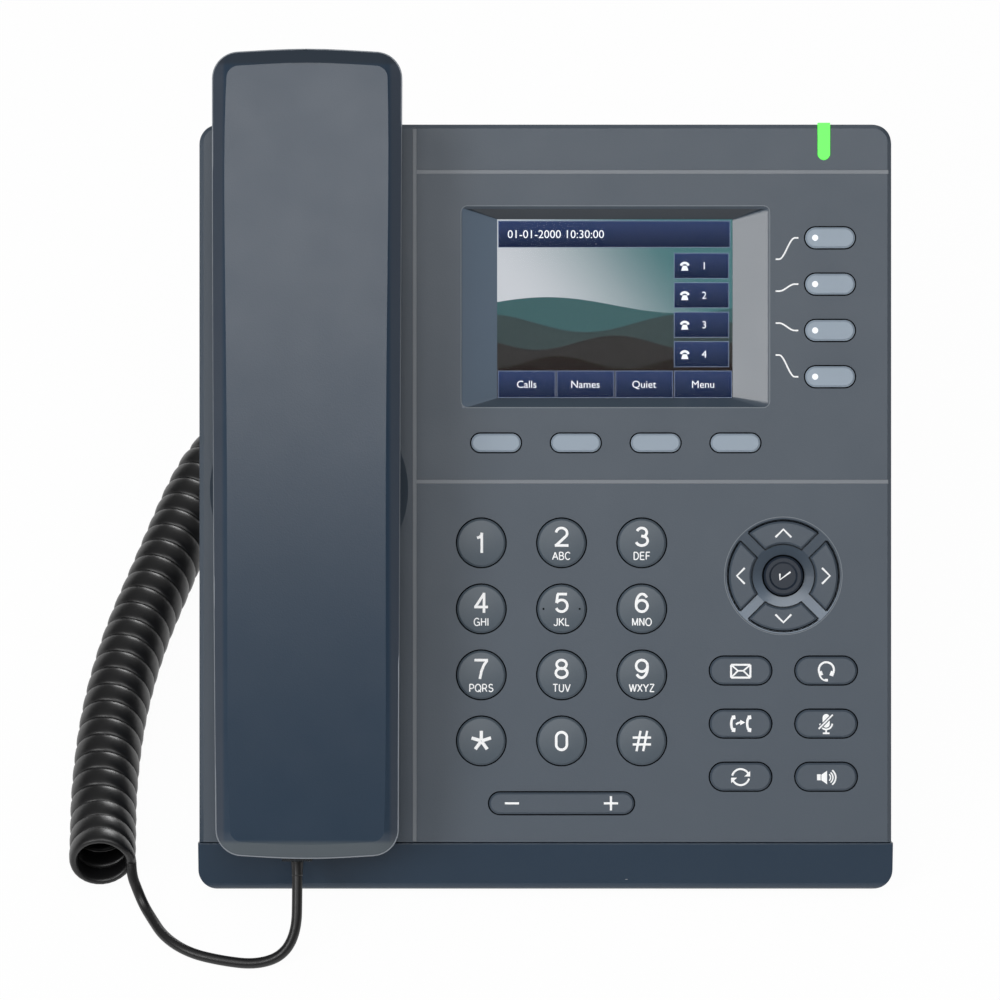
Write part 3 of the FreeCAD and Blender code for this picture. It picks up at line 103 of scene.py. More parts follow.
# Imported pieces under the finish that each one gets
DRESSING = {
    "slate": ["volume_rocker", "up_key", "left_key", "down_key", "right_key", "message_key", "headset_key",
              "transfer_key", "mute_key", "redial_key", "speaker_key"],
    "key": ["digit_key_" + name for name in DIGIT_LETTERS],
    "cover": ["front_cover"],
    "handset": ["handset_outer_shell"],
    "deep": ["ok_key"],
    "navy": ["rear_tub", "handset_inner_shell", "desk_stand", "hook_plunger"],
    "pale": [f"{row}_key_{i}" for row in ("soft", "line") for i in (1, 2, 3, 4)],
    "black": ["network_jacks", "modular_jacks", "power_jack", "hook_switch", "handset_jack",
              "cord_coil", "cord_handset_lead", "cord_base_lead"],
    "steel": ["loudspeaker", "base_microphone", "receiver_capsule", "microphone_capsule", "housing_screws"],
    "lens": ["screen_lens"],
    "display": ["lcd_module"],
    "lamp": ["message_lamp"],
    "board": ["main_board"],
    "silicone": ["key_membrane"],
    "rubber": ["front_feet", "rear_feet"],
    "plug": ["base_plug", "handset_plug"],
}

# Cord routes in the desk frame, in millimetres. The coil's near end lifts a little off the desk.
COIL_ROUTE = [(-109.2, -67.4, 11.0), (-109.4, -57.5, 8.5), (-109.8, -40.5, 8.4), (-108.4, -15.1, 8.4),
              (-104.0, 10.8, 8.4), (-96.6, 37.0, 8.4), (-89.3, 63.8, 8.4), (-83.6, 77.4, 8.4),
              (-76.5, 86.0, 8.4)]
HANDSET_LEAD_ROUTE = [(-102.0, -69.2, 8.6), (-100.6, -70.9, 4.8), (-99.1, -73.4, 2.2), (-97.3, -76.8, 1.6),
                      (-93.8, -83.6, 1.6), (-87.6, -88.8, 1.6), (-79.5, -91.4, 1.6), (-71.0, -92.8, 1.7),
                      (-64.3, -92.2, 4.3), (-61.0, -88.6, 9.2), (-60.8, -82.14, 15.86)]
BASE_LEAD_ROUTE = [(-65.5, 86.0, 1.8), (-58.8, 81.5, 1.6), (-57.0, 71.0, 1.6), (-57.5, 56.0, 1.6),
                   (-59.0, 38.0, 1.8), (-62.0, 21.0, 8.0), (-64.0, 5.4, 21.9)]


def linear(red, green, blue):
    """Screen colour, 0 to 255, as the light values that a shader takes."""
    def light(value):
        share = value / 255
        return share / 12.92 if share <= 0.04045 else ((share + 0.055) / 1.055) ** 2.4
    return light(red), light(green), light(blue)


def colour(name, description, red, green, blue):
    return FloatVectorProperty(name=name, description=description, subtype="COLOR", size=3, min=0, max=1,
                               default=linear(red, green, blue))


def length(name, description, millimetres):
    return FloatProperty(name=name, description=description, subtype="DISTANCE", unit="LENGTH",
                         default=millimetres * MM, min=0)


class PhoneColours(bpy.types.PropertyGroup):
    """Colours of the telephone's finishes."""

    slate: colour("Slate", "Front cover, function and direction keys", 67, 78, 90)
    key: colour("Digit keys", "Twelve keys of the dial", 76, 87, 97)
    navy: colour("Navy", "Rear tub, chin, stand and handset", 37, 55, 73)
    pale: colour("Pale keys", "Soft keys and line keys", 148, 162, 176)
    inlay: colour("Inlay", "Division lines in the face", 117, 123, 130)
    legend: colour("Legend", "Printed digits and symbols", 251, 252, 253)
    lamp: colour("Lamp", "Lit message lamp", 96, 255, 84)
    cord: colour("Cord", "Cord jacket", 16, 16, 17)
    screen_bar: colour("Screen bar", "Bars and tabs on the screen", 31, 47, 84)
    screen_sky: colour("Screen light", "Light part of the screen's picture", 204, 208, 214)
    screen_teal: colour("Screen teal", "Cool part of the screen's picture", 74, 118, 122)
    screen_ground: colour("Screen dark", "Dark part of the screen's picture", 44, 37, 35)


class PhoneSizes(bpy.types.PropertyGroup):
    """Sizes of what is printed on, laid in or run out of the telephone."""

    digit_height: length("Digit height", "Height of a printed digit", 4.95)
    letter_height: length("Letter height", "Height of the small letters under a digit", 1.8)
    ink: length("Ink", "Thickness of the print", 0.03)
    inlay_width: length("Inlay width", "Width of a division line", 0.96)
    coil_outside: length("Coil outside", "Outside diameter of the coiled cord", 16.5)
    cord_width: length("Cord width", "Width of the flat cord in the coil", 5.85)
    cord_thick: length("Cord thickness", "Thickness of the flat cord in the coil", 2.2)
    lead_diameter: length("Lead diameter", "Diameter of the straight leads", 2.6)
    coil_turns: IntProperty(name="Coil turns", description="Whole turns of the coiled cord",
                            default=26, min=3)


def colours():
    return bpy.context.scene.phone_colours


def sizes():
    return bpy.context.scene.phone_sizes


# Materials

def operator(operation, swapped=False):
    """Arithmetic of a shader value and another value, as one node."""
    def work(value, other):
        pair = (other, value) if swapped else (value, other)
        return value.finish.arithmetic(operation, *pair)
    return work


class Value:
    """A shader socket that plain arithmetic works on."""

    def __init__(self, finish, socket):
        self.finish = finish
        self.socket = socket

    __add__ = operator("ADD")
    __radd__ = operator("ADD", swapped=True)
    __sub__ = operator("SUBTRACT")
    __rsub__ = operator("SUBTRACT", swapped=True)
    __mul__ = operator("MULTIPLY")
    __rmul__ = operator("MULTIPLY", swapped=True)
    __truediv__ = operator("DIVIDE")
    __gt__ = operator("GREATER_THAN")
    __lt__ = operator("LESS_THAN")


class Finish:
    """A material built from nodes round one Principled shader."""

    def __init__(self, name):
        self.material = bpy.data.materials.new(name)
        self.material.use_nodes = True
        self.tree = self.material.node_tree
        self.tree.nodes.clear()
        self.output = self.tree.nodes.new("ShaderNodeOutputMaterial")

    def node(self, kind, settings=None, inputs=None, output=0):
        """Adds a node, sets it, feeds its sockets and returns one of its outputs."""
        made = self.tree.nodes.new(kind)
        for key, value in (settings or {}).items():
            setattr(made, key, value)
        for key, value in (inputs or {}).items():
            socket = made.inputs[key]
            if isinstance(value, Value):
                self.tree.links.new(value.socket, socket)
            else:
                socket.default_value = value
        return Value(self, made.outputs[output])

    def arithmetic(self, operation, *values):
        """One step of arithmetic on shader values and numbers."""
        return self.node("ShaderNodeMath", {"operation": operation}, dict(enumerate(values)))

    def place(self):
        """Object coordinates, which are metres in the desk frame."""
        return self.node("ShaderNodeTexCoord", output="Object")

    def face_place(self):
        """Face coordinates in metres: x to the right and y up the face."""
        turn = FACE_TURN.transposed().to_euler()
        shifted = self.node("ShaderNodeVectorMath", {"operation": "SUBTRACT"},
                            {0: self.place(), 1: FACE_ORIGIN})
        return self.node("ShaderNodeVectorRotate", {"rotation_type": "EULER_XYZ"},
                         {"Vector": shifted, "Rotation": turn})

    def axes(self, vector):
        split = self.tree.nodes.new("ShaderNodeSeparateXYZ")
        self.tree.links.new(vector.socket, split.inputs[0])
        return [Value(self, out) for out in split.outputs]

    def noise(self, scale, detail=2.0, vector=None):
        return self.node("ShaderNodeTexNoise", None,
                         {"Vector": vector or self.place(), "Scale": scale, "Detail": detail})

    def mix(self, share, first, second):
        """Two colours mixed by a share."""
        return self.node("ShaderNodeMix", {"data_type": "RGBA"},
                         {0: share, 6: self._shade(first), 7: self._shade(second)}, output=2)

    @staticmethod
    def _shade(value):
        return value if isinstance(value, Value) else (*value[:3], 1.0)

    def scaled(self, shade, factor):
        """Colour times a factor."""
        return self.node("ShaderNodeVectorMath", {"operation": "SCALE"}, {0: shade, "Scale": factor})

    def ease(self, value, start, end):
        """Smooth step from nought at start to one at end."""
        return self.node("ShaderNodeMapRange", {"interpolation_type": "SMOOTHSTEP"},
                         {"Value": value, "From Min": start, "From Max": end})

    def bump(self, height, strength, distance):
        return self.node("ShaderNodeBump", None,
                         {"Height": height, "Strength": strength, "Distance": distance})

    def speckled(self, noise, base, dark, light=1.0):
        """Colour that noise moves between a darker and a lighter share of a base."""
        return self.mix(noise, [c * dark for c in base], [min(c * light, 1.0) for c in base])

    def uneven(self, roughness):
        """Roughness that wanders a little to either side."""
        spread = 0.1
        return roughness - spread / 2 + spread * self.noise(GLOSS, 3.0)

    def glowing(self, shade):
        """Ends the material as a display, black but for its own light."""
        return self.surface(base_color=(0.0, 0.0, 0.0), roughness=0.4, specular_ior_level=0.0,
                            emission_color=shade, emission_strength=1.0)

    def surface(self, **inputs):
        """Ends the material in a Principled shader with these sockets."""
        named = {key.replace("_", " ").title().replace("Ior", "IOR"): value for key, value in inputs.items()}
        for key in ("Base Color", "Emission Color"):
            if key in named:
                named[key] = self._shade(named[key])
        shader = self.node("ShaderNodeBsdfPrincipled", None, named)
        self.tree.links.new(shader.socket, self.output.inputs["Surface"])
        return self.material


def moulded(name, base, roughness, depth=0.5, mottle=0.05):
    """Moulded plastic: a fine spark-eroded grain, faint mottling and uneven gloss."""
    finish = Finish(name)
    shade = finish.speckled(finish.noise(MOTTLE), base, 1 - mottle, 1 + mottle)
    return finish.surface(base_color=shade, roughness=finish.uneven(roughness),
                          normal=finish.bump(finish.noise(GRAIN, 3.0), depth, GRAIN_DEPTH))


def cover_plastic(name, base, roughness):
    """Face of the housing: matt grain, with polished slopes round the screen and in the direction pad.

    The left slope and the lower part of the pad are painted paler, as painted light, and the top slope is
    painted darker, as painted shade."""
    pad_radius, pad_fade = 14.2, (2.0, -9.0)
    slopes_wide, slopes_tall = 37.6, 24.5
    window_wide, window_tall, side_run, top_run = 29.0, 22.0, 9.0, 2.8
    left_slope_painted_light, top_slope_painted_shade, pad_foot_painted_light = 0.95, 0.55, 1.1
    mottle, rough_lost, grain_lost = 0.05, 0.5, 0.8
    finish = Finish(name)
    across, up, _ = finish.axes(finish.face_place())
    pad_x, pad_y = key_centre("ok_key")
    screen_x, screen_y = key_centre("screen_lens")
    from_pad = finish.node("ShaderNodeCombineXYZ", None, {0: across - pad_x * MM, 1: up - pad_y * MM})
    reach = finish.node("ShaderNodeVectorMath", {"operation": "LENGTH"}, {0: from_pad}, output="Value")
    in_pad = reach < pad_radius * MM
    right_of = across - screen_x * MM
    over = up - screen_y * MM
    beside = finish.arithmetic("ABSOLUTE", right_of)
    above = finish.arithmetic("ABSOLUTE", over)
    on_slopes = (beside < slopes_wide * MM) * (above < slopes_tall * MM)
    polished = finish.arithmetic("MAXIMUM", in_pad, on_slopes)
    on_side = (beside - window_wide * MM) / (side_run * MM) > (above - window_tall * MM) / (top_run * MM)
    left_slope = on_slopes * on_side * (right_of < 0.0)
    top_slope = on_slopes * (1 - on_side) * (over > 0.0)
    pad_foot = in_pad * finish.ease(up, (pad_y + pad_fade[0]) * MM, (pad_y + pad_fade[1]) * MM)
    # Painted light on the left slope and the lower part of the pad, painted shade on the top slope
    painted_light_and_shade = 1 + left_slope_painted_light * left_slope - top_slope_painted_shade * top_slope + pad_foot_painted_light * pad_foot
    mottled = finish.speckled(finish.noise(MOTTLE), base, 1 - mottle, 1 + mottle)
    grain = finish.noise(GRAIN, 3.0) * (1 - grain_lost * polished)
    return finish.surface(base_color=finish.scaled(mottled, painted_light_and_shade),
                          roughness=finish.uneven(roughness) * (1 - rough_lost * polished),
                          normal=finish.bump(grain, 0.5, GRAIN_DEPTH))


def handset_plastic(name, base, roughness):
    """Handset's back: fine grain, its bevel painted grey as painted light and shade, palest at the foot and
    darkest at the top.
    """
    bevel_side_painted_light, bevel_foot_painted_light, bevel_top_painted_shade = linear(66, 71, 80), linear(78, 87, 93), linear(38, 45, 53)
    mottle = 0.04
    finish = Finish(name)
    across, up, _ = finish.axes(finish.face_place())
    spots = face_spots("handset_outer_shell")
    left, right = min(s.x for s in spots), max(s.x for s in spots)
    bottom, top = min(s.y for s in spots), max(s.y for s in spots)
    shade = finish.speckled(finish.noise(MOTTLE), base, 1 - mottle, 1 + mottle)
    painted_bevel_bands = ((across, left + 3.2, left + 2.2, 0.6, bevel_side_painted_light),
              (across, right - 3.2, right - 2.2, 0.6, bevel_side_painted_light),
              (up, bottom + 4.7, bottom + 3.4, 0.85, bevel_foot_painted_light), (up, top - 4.2, top - 3.0, 0.6, bevel_top_painted_shade))
    # Painted light on the bevel's sides and foot, painted shade on its top
    for place, start, end, share, grey in painted_bevel_bands:
        shade = finish.mix(share * finish.ease(place, start * MM, end * MM), shade, grey)
    return finish.surface(base_color=shade, roughness=finish.uneven(roughness),
                          normal=finish.bump(finish.noise(GRAIN, 3.0), 0.5, GRAIN_DEPTH))


def printed(name, base):
    """Screen-printed ink, a little uneven, with a faint glow of painted light that holds its white in the
    shade.
    """
    speck, darker, rough, spread, glow = 700.0, 0.94, 0.55, 0.1, 0.1
    finish = Finish(name)
    broad = finish.noise(speck)
    shade = finish.speckled(broad, base, darker)
    return finish.surface(base_color=shade, roughness=rough + spread * broad, emission_color=shade,
                          emission_strength=glow)


def lit(name, base, strength, edge):
    """Translucent plastic with a lamp behind it."""
    cloud, unlit, rough = 260.0, 0.2, 0.3
    finish = Finish(name)
    shade = finish.speckled(finish.noise(cloud, 1.0), base, edge)
    return finish.surface(base_color=[c * unlit for c in base], roughness=rough, emission_color=shade,
                          emission_strength=strength)


def jacket(name, base):
    """Soft vinyl cord jacket with a faint drawn grain along the cord."""
    stretch, dust, rough, spread, strength, depth = (40.0, 9.0, 1.0), 220.0, 0.3, 0.16, 0.12, 0.00006
    finish = Finish(name)
    along = finish.node("ShaderNodeUVMap", {"uv_map": "along"})
    stretched = finish.node("ShaderNodeVectorMath", {"operation": "MULTIPLY"}, {0: along, 1: stretch})
    drawn = finish.noise(1.0, 3.0, stretched)
    shade = finish.speckled(finish.noise(dust, 3.0), base, 0.85, 1.35)
    return finish.surface(base_color=shade, roughness=rough + spread * drawn,
                          normal=finish.bump(drawn, strength, depth))


def rubber(name, base):
    """Matt rubber with a coarse grain."""
    grain, rough, spread, strength, depth = 1500.0, 0.75, 0.1, 0.4, 0.0001
    finish = Finish(name)
    fine = finish.noise(grain, 3.0)
    return finish.surface(base_color=finish.speckled(fine, base, 0.8, 1.25), roughness=rough + spread * fine,
                          normal=finish.bump(fine, strength, depth))


def seal(name, base):
    """Dull dark finish that takes hardly any shine: the painted shade round the keys, and the dots beside the
    five.
    """
    grain, rough, spread, shine = 1500.0, 0.8, 0.1, 0.1
    finish = Finish(name)
    fine = finish.noise(grain)
    return finish.surface(base_color=finish.speckled(fine, base, 0.8), roughness=rough + spread * fine,
                          specular_ior_level=shine)


def metal(name, base, roughness):
    """Bare metal, a little stained."""
    stain, spread = 900.0, 0.12
    finish = Finish(name)
    fine = finish.noise(stain, 3.0)
    return finish.surface(base_color=finish.speckled(fine, base, 0.85), metallic=1.0,
                          roughness=roughness + spread * fine)


def clear(name, base, alpha, roughness):
    """Clear plastic seen as a thin gloss over what lies behind it."""
    haze, spread = 120.0, 0.05
    finish = Finish(name)
    return finish.surface(base_color=base, roughness=roughness + spread * finish.noise(haze), alpha=alpha)


# level, swell, turns, shift, shade and warmth of each layer of waves on the screen
WAVES = (
    (0.52, 0.045, 5.5, 0.4, 0.85, 0.25),
    (0.42, 0.050, 7.5, 1.9, 1.30, 0.80),
    (0.31, 0.040, 9.5, 3.1, 1.25, 0.95),
    (0.20, 0.035, 11.0, 5.0, 0.75, 1.0),
)


def screen_picture():
    """Smooth sky over four layers of waves, lit from behind."""
    tone = colours()
    finish = Finish("screen_picture")
    across, up, _ = finish.axes(finish.face_place())
    height = (up - SCREEN_BOTTOM * MM) / ((SCREEN_TOP - SCREEN_BOTTOM) * MM)
    along = (across - SCREEN_LEFT * MM) / ((SCREEN_RIGHT - SCREEN_LEFT) * MM)
    cool = finish.ease(along * 0.8 + height * 0.45, 0.3, 1.0)
    picture = finish.mix(cool, tone.screen_sky, tone.screen_teal)
    for level, swell, turns, shift, shade, warmth in WAVES:
        crest = finish.arithmetic("SINE", along * turns + shift)
        below = (height - (level + swell * crest)) < 0.0
        pair = zip(tone.screen_teal, tone.screen_ground)
        wave = [shade * (cold + (ground - cold) * warmth) for cold, ground in pair]
        picture = finish.mix(below, picture, wave)
    return finish.glowing(picture)


def screen_panel(name, low, high, bottom, top):
    """Lit panel that shades from one tone at its foot to another at its head."""
    finish = Finish(name)
    _, up, _ = finish.axes(finish.face_place())
    return finish.glowing(finish.mix((up - bottom * MM) / ((top - bottom) * MM), low, high))


_finishes = {}


def finish_for(name):
    """Named finishes, each made once."""
    if name not in _finishes:
        tone = colours()
        # Each maker with what it takes after the name
        makers = {
            "slate": (moulded, tone.slate, 0.42),
            "key": (moulded, tone.key, 0.42),
            "cover": (cover_plastic, tone.slate, 0.42),
            "handset": (handset_plastic, tone.navy, 0.32),
            "navy": (moulded, tone.navy, 0.32, 0.5, 0.04),
            "deep": (moulded, linear(17, 31, 47), 0.5, 0.15),
            "pale": (moulded, tone.pale, 0.4, 0.25),
            "inlay": (moulded, tone.inlay, 0.4, 0.2),
            "legend": (printed, tone.legend),
            "lamp": (lit, tone.lamp, 0.95, 0.9),
            "line_lamp": (lit, linear(244, 247, 250), 0.9, 0.95),
            "screen_words": (lit, linear(236, 240, 246), 1.0, 0.95),
            "screen_borders": (lit, linear(112, 130, 160), 1.0, 0.8),
            "cord": (jacket, tone.cord),
            "black": (moulded, linear(22, 22, 24), 0.45),
            "rubber": (rubber, linear(20, 20, 21)),
            "board": (moulded, linear(18, 74, 44), 0.4),
            "silicone": (rubber, linear(150, 154, 155)),
            "steel": (metal, linear(190, 190, 192), 0.3),
            "lens": (clear, (0.02, 0.02, 0.025), 0.06, 0.03),
            "plug": (clear, linear(46, 52, 58), 0.8, 0.12),
            # Painted shade in the gaps round the keys, and the dark dots beside the five
            "seal": (seal, linear(4, 8, 13)),
            # Painted highlights: the pale ridge round the handset and the pale rims of the pad and screen
            "bead": (moulded, linear(128, 134, 142), 0.35, 0.2),
            "rim": (moulded, linear(116, 124, 132), 0.35, 0.2),
            "display": (moulded, linear(20, 22, 26), 0.4),
        }
        maker, *details = makers[name]
        _finishes[name] = maker(name, *details)
    return _finishes[name]


# Meshes

def linked(name, data):
    """New object in the scene for a mesh, curve, lamp or camera."""
    made = bpy.data.objects.new(name, data)
    bpy.context.scene.collection.objects.link(made)
    return made


def solid(name, mesh, material):
    """Turns a finished bmesh into an object."""
    data = bpy.data.meshes.new(name)
    mesh.to_mesh(data)
    mesh.free()
    data.materials.append(material)
    return linked(name, data)


def piece(name, mesh, finish, body):
    """Turns a finished bmesh into a piece that rides on a body."""
    made = solid(name, mesh, finish_for(finish) if isinstance(finish, str) else finish)
    if body:
        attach(made, body)
    return made


def curve_mesh(curve):
    """Mesh of a curve or text, and the curve removed."""
    holder = linked(curve.name, curve)
    bpy.context.view_layer.update()
    mesh = bpy.data.meshes.new_from_object(holder.evaluated_get(bpy.context.evaluated_depsgraph_get()))
    bpy.data.objects.remove(holder)
    bpy.data.curves.remove(curve)
    return mesh


def spline_curve(name, kind, points):
    """Curve with one spline through points."""
    curve = bpy.data.curves.new(name, "CURVE")
    curve.dimensions = "3D"
    spline = curve.splines.new(kind)
    spline.points.add(len(points) - 1)
    for spot, point in zip(spline.points, points):
        spot.co = (*point, 1)
    return curve, spline


def face_spots(node):
    """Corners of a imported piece's mesh, in face millimetres."""
    back = FACE.inverted()
    return [back @ v.co for v in frame["nodes"][node].data.vertices]


def face_middle(node):
    """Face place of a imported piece's middle."""
    low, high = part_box(node)
    return FACE.inverted() @ ((low + high) / 2)


def key_centre(node):
    """Place of a key's middle across and up the face."""
    return face_middle(node)[:2]


def bow(x, y, wide, tall, start, end, steps=16):
    """Points on part of an ellipse."""
    turns = [math.radians(start + (end - start) * i / steps) for i in range(steps + 1)]
    return [(x + wide * math.cos(a), y + tall * math.sin(a)) for a in turns]


def loop(x, y, wide, tall, steps=16):
    """Points on a whole ellipse."""
    return bow(x, y, wide, tall, 0, 360, steps)[:-1]


def pill(x, y, half_long, half_wide):
    """Outline of a bar with round ends."""
    reach = half_long - half_wide
    return (bow(x + reach, y, half_wide, half_wide, -90, 90, 14)
            + bow(x - reach, y, half_wide, half_wide, 90, 270, 14))


def smooth(share):
    """Share of a way that starts and ends gently."""
    return share * share * (3 - 2 * share)


def raised(mesh, points, floor, height):
    """Adds a plate with upright walls over an outline."""
    face = mesh.faces.new([mesh.verts.new((x, y, floor)) for x, y in points])
    lifted = bmesh.ops.extrude_face_region(mesh, geom=[face])
    tops = [part for part in lifted["geom"] if isinstance(part, bmesh.types.BMVert)]
    bmesh.ops.translate(mesh, verts=tops, vec=(0, 0, height))


class Print:
    """Raised print gathered in one mesh, in face millimetres round a centre."""

    def __init__(self, x, y, thick=None):
        self.centre = Vector((x, y, 0))
        self.mesh = bmesh.new()
        self.thick = thick or sizes().ink / MM

    def _add(self, data, matrix):
        before = len(self.mesh.verts)
        self.mesh.from_mesh(data)
        bpy.data.meshes.remove(data)
        self.mesh.verts.ensure_lookup_table()
        bmesh.ops.transform(self.mesh, matrix=matrix, verts=self.mesh.verts[before:])

    def _letters(self, words):
        curve = bpy.data.curves.new("words", "FONT")
        curve.body = words
        curve.size = 1.0
        curve.extrude = 0.5
        curve.resolution_u = 3
        return curve_mesh(curve)

    def text(self, words, height, x, y, left=False):
        """Words with capitals of a given height, centred on x and y, or starting at x."""
        gauge = self._letters("H")
        low, high = min(v.co.y for v in gauge.vertices), max(v.co.y for v in gauge.vertices)
        bpy.data.meshes.remove(gauge)
        data = self._letters(words)
        sides = [v.co.x for v in data.vertices]
        anchor = min(sides) if left else (min(sides) + max(sides)) / 2
        scale = height / (high - low)
        centre = Matrix.Translation((-anchor, -(low + high) / 2, 0))
        grow = Matrix.Diagonal((scale, scale, self.thick, 1))
        self._add(data, Matrix.Translation((x, y, 0)) @ grow @ centre)

    def capitals(self, words, height, x, y, width):
        """Small capitals drawn in lines, centred on x and y."""
        shapes = letter_lines()
        gap = 0.17
        whole = sum(shapes[letter][0] + gap for letter in words) - gap
        start = x - whole * height / 2
        for letter in words:
            wide, lines = shapes[letter]
            for line in lines:
                self.lines([(start + a * height, y + (b - 0.5) * height) for a, b in line], width)
            start += (wide + gap) * height

    def lines(self, points, width):
        """Strokes through points, with a new one at each sharp corner."""
        sharp = math.radians(40)
        run = [Vector(points[0])]
        for spot in points[1:]:
            ahead = Vector(spot) - run[-1]
            if len(run) > 1 and (run[-1] - run[-2]).angle(ahead) > sharp:
                self.stroke(run, width)
                run = [run[-1]]
            run.append(Vector(spot))
        self.stroke(run, width)

    def stroke(self, points, width, closed=False):
        """Line of even width through points."""
        curve, spline = spline_curve("stroke", "POLY", [(x, y, 0) for x, y in points])
        curve.bevel_depth = width / 2
        curve.bevel_resolution = 2
        curve.use_fill_caps = True
        spline.use_cyclic_u = closed
        self._add(curve_mesh(curve), Matrix.Diagonal((1, 1, self.thick / width, 1)))

    def arc(self, x, y, radius, start, end, width, steps=14):
        """Stroke along part of a circle."""
        self.stroke(bow(x, y, radius, radius, start, end, steps), width)

    def fill(self, points):
        """Filled outline."""
        raised(self.mesh, points, -self.thick / 2, self.thick)

    def divide(self):
        """Cuts the print on a grid, so that it can follow a curved surface."""
        step, reach = 0.6, 6.0
        for normal in (Vector((1, 0, 0)), Vector((0, 1, 0))):
            for i in range(-int(reach / step), int(reach / step) + 1):
                everything = self.mesh.verts[:] + self.mesh.edges[:] + self.mesh.faces[:]
                bmesh.ops.bisect_plane(self.mesh, geom=everything, plane_co=normal * (i * step),
                                       plane_no=normal)

    def done(self, name, finish, body, slot, height):
        """Lays the print on a surface whose height is a function of the place round the centre."""
        for vert in self.mesh.verts:
            vert.co.z += height(vert.co.xy)
        bmesh.ops.recalc_face_normals(self.mesh, faces=self.mesh.faces)
        bmesh.ops.transform(self.mesh, matrix=FACE @ Matrix.Translation(self.centre), verts=self.mesh.verts)
        return piece(name, self.mesh, finish, body)


def flat(height):
    """Level surface."""
    return lambda spot: height


def crowned(spot):
    """Top of a digit key, with the print just over it."""
    proud, crown, shoulder, over = 0.7, 0.35, 5.5, 0.01
    return proud + crown * max(0.0, 1 - spot.length_squared / shoulder ** 2) + over


def slab(mesh, left, right, bottom, top, low, high, bevel):
    """Bevelled block in face millimetres."""
    made = bmesh.ops.create_cube(mesh, size=1.0)["verts"]
    middle = Vector(((left + right) / 2, (bottom + top) / 2, (low + high) / 2))
    bmesh.ops.scale(mesh, vec=(right - left, top - bottom, high - low), verts=made)
    bmesh.ops.translate(mesh, vec=middle, verts=made)
    edges = list({e for v in made for e in v.link_edges})
    bmesh.ops.bevel(mesh, geom=edges, offset=bevel, affect="EDGES", segments=2, profile=0.5, material=-1)


# Cord

def route_line(points):
    """Points along the smooth line that a route's points pull on, in metres."""
    curve, spline = spline_curve("route", "NURBS", points)
    curve.resolution_u = 24
    spline.order_u = 3
    spline.use_endpoint_u = True
    mesh = curve_mesh(curve)
    line = [v.co.copy() for v in mesh.vertices]
    bpy.data.meshes.remove(mesh)
    return line


class Line:
    """A line of points that is read by the distance along it."""

    def __init__(self, points):
        self.points = points
        self.marks = [0.0]
        for before, after in zip(points, points[1:]):
            self.marks.append(self.marks[-1] + (after - before).length)
        self.length = self.marks[-1]

    def at(self, distance):
        """Point and direction at a distance."""
        tiny = 1e-12
        distance = min(max(distance, 0.0), self.length)
        index = max(i for i, mark in enumerate(self.marks[:-1]) if mark <= distance + tiny)
        step = self.points[index + 1] - self.points[index]
        share = (distance - self.marks[index]) / max(step.length, tiny)
        return self.points[index] + step * share, step.normalized()


def swept(name, stations, finish, body, loop_back=False):
    """Tube through stations of (centre, across, over, half width, half thickness).

    It has a cap at both ends, or runs back into its own start. A wide, thin section is drawn fuller
    than an ellipse, as a flat cord is."""
    around, fullness, print_length = 16, 0.28, 0.01
    mesh = bmesh.new()
    layer = mesh.loops.layers.uv.new("along")
    rings = []
    for centre, across, over, half_width, half_thick in stations:
        ring = []
        power = 1 - fullness * (1 - min(half_thick / half_width, 1.0))
        for i in range(around):
            turn = 2 * math.pi * i / around
            wide, thick = math.cos(turn), math.sin(turn)
            wide = math.copysign(abs(wide) ** power, wide)
            thick = math.copysign(abs(thick) ** power, thick)
            ring.append(mesh.verts.new(centre + across * (half_width * wide) + over * (half_thick * thick)))
        rings.append(ring)
    if loop_back:
        rings.append(rings[0])
        stations = stations + stations[:1]
    travelled = 0.0
    for index, (first, second) in enumerate(zip(rings, rings[1:])):
        step = (stations[index + 1][0] - stations[index][0]).length
        for i in range(around):
            j = (i + 1) % around
            face = mesh.faces.new((first[i], first[j], second[j], second[i]))
            face.smooth = True
            marks = ((i, 0), (i + 1, 0), (i + 1, step), (i, step))
            for corner, (turn, ahead) in zip(face.loops, marks):
                corner[layer].uv = (turn / around, (travelled + ahead) / print_length)
        travelled += step
    if not loop_back:
        mesh.faces.new(rings[0])
        mesh.faces.new(rings[-1])
    bmesh.ops.recalc_face_normals(mesh, faces=mesh.faces)
    return piece(name, mesh, finish, body)


def lead_stations(line, half, over):
    """Round tube stations along a line, which start with a given way over it."""
    stations = []
    for i, point in enumerate(line):
        ahead = (line[min(i + 1, len(line) - 1)] - line[max(i - 1, 0)]).normalized()
        over = (over - ahead * over.dot(ahead)).normalized()
        stations.append((point, ahead.cross(over), over, half, half))
    return stations


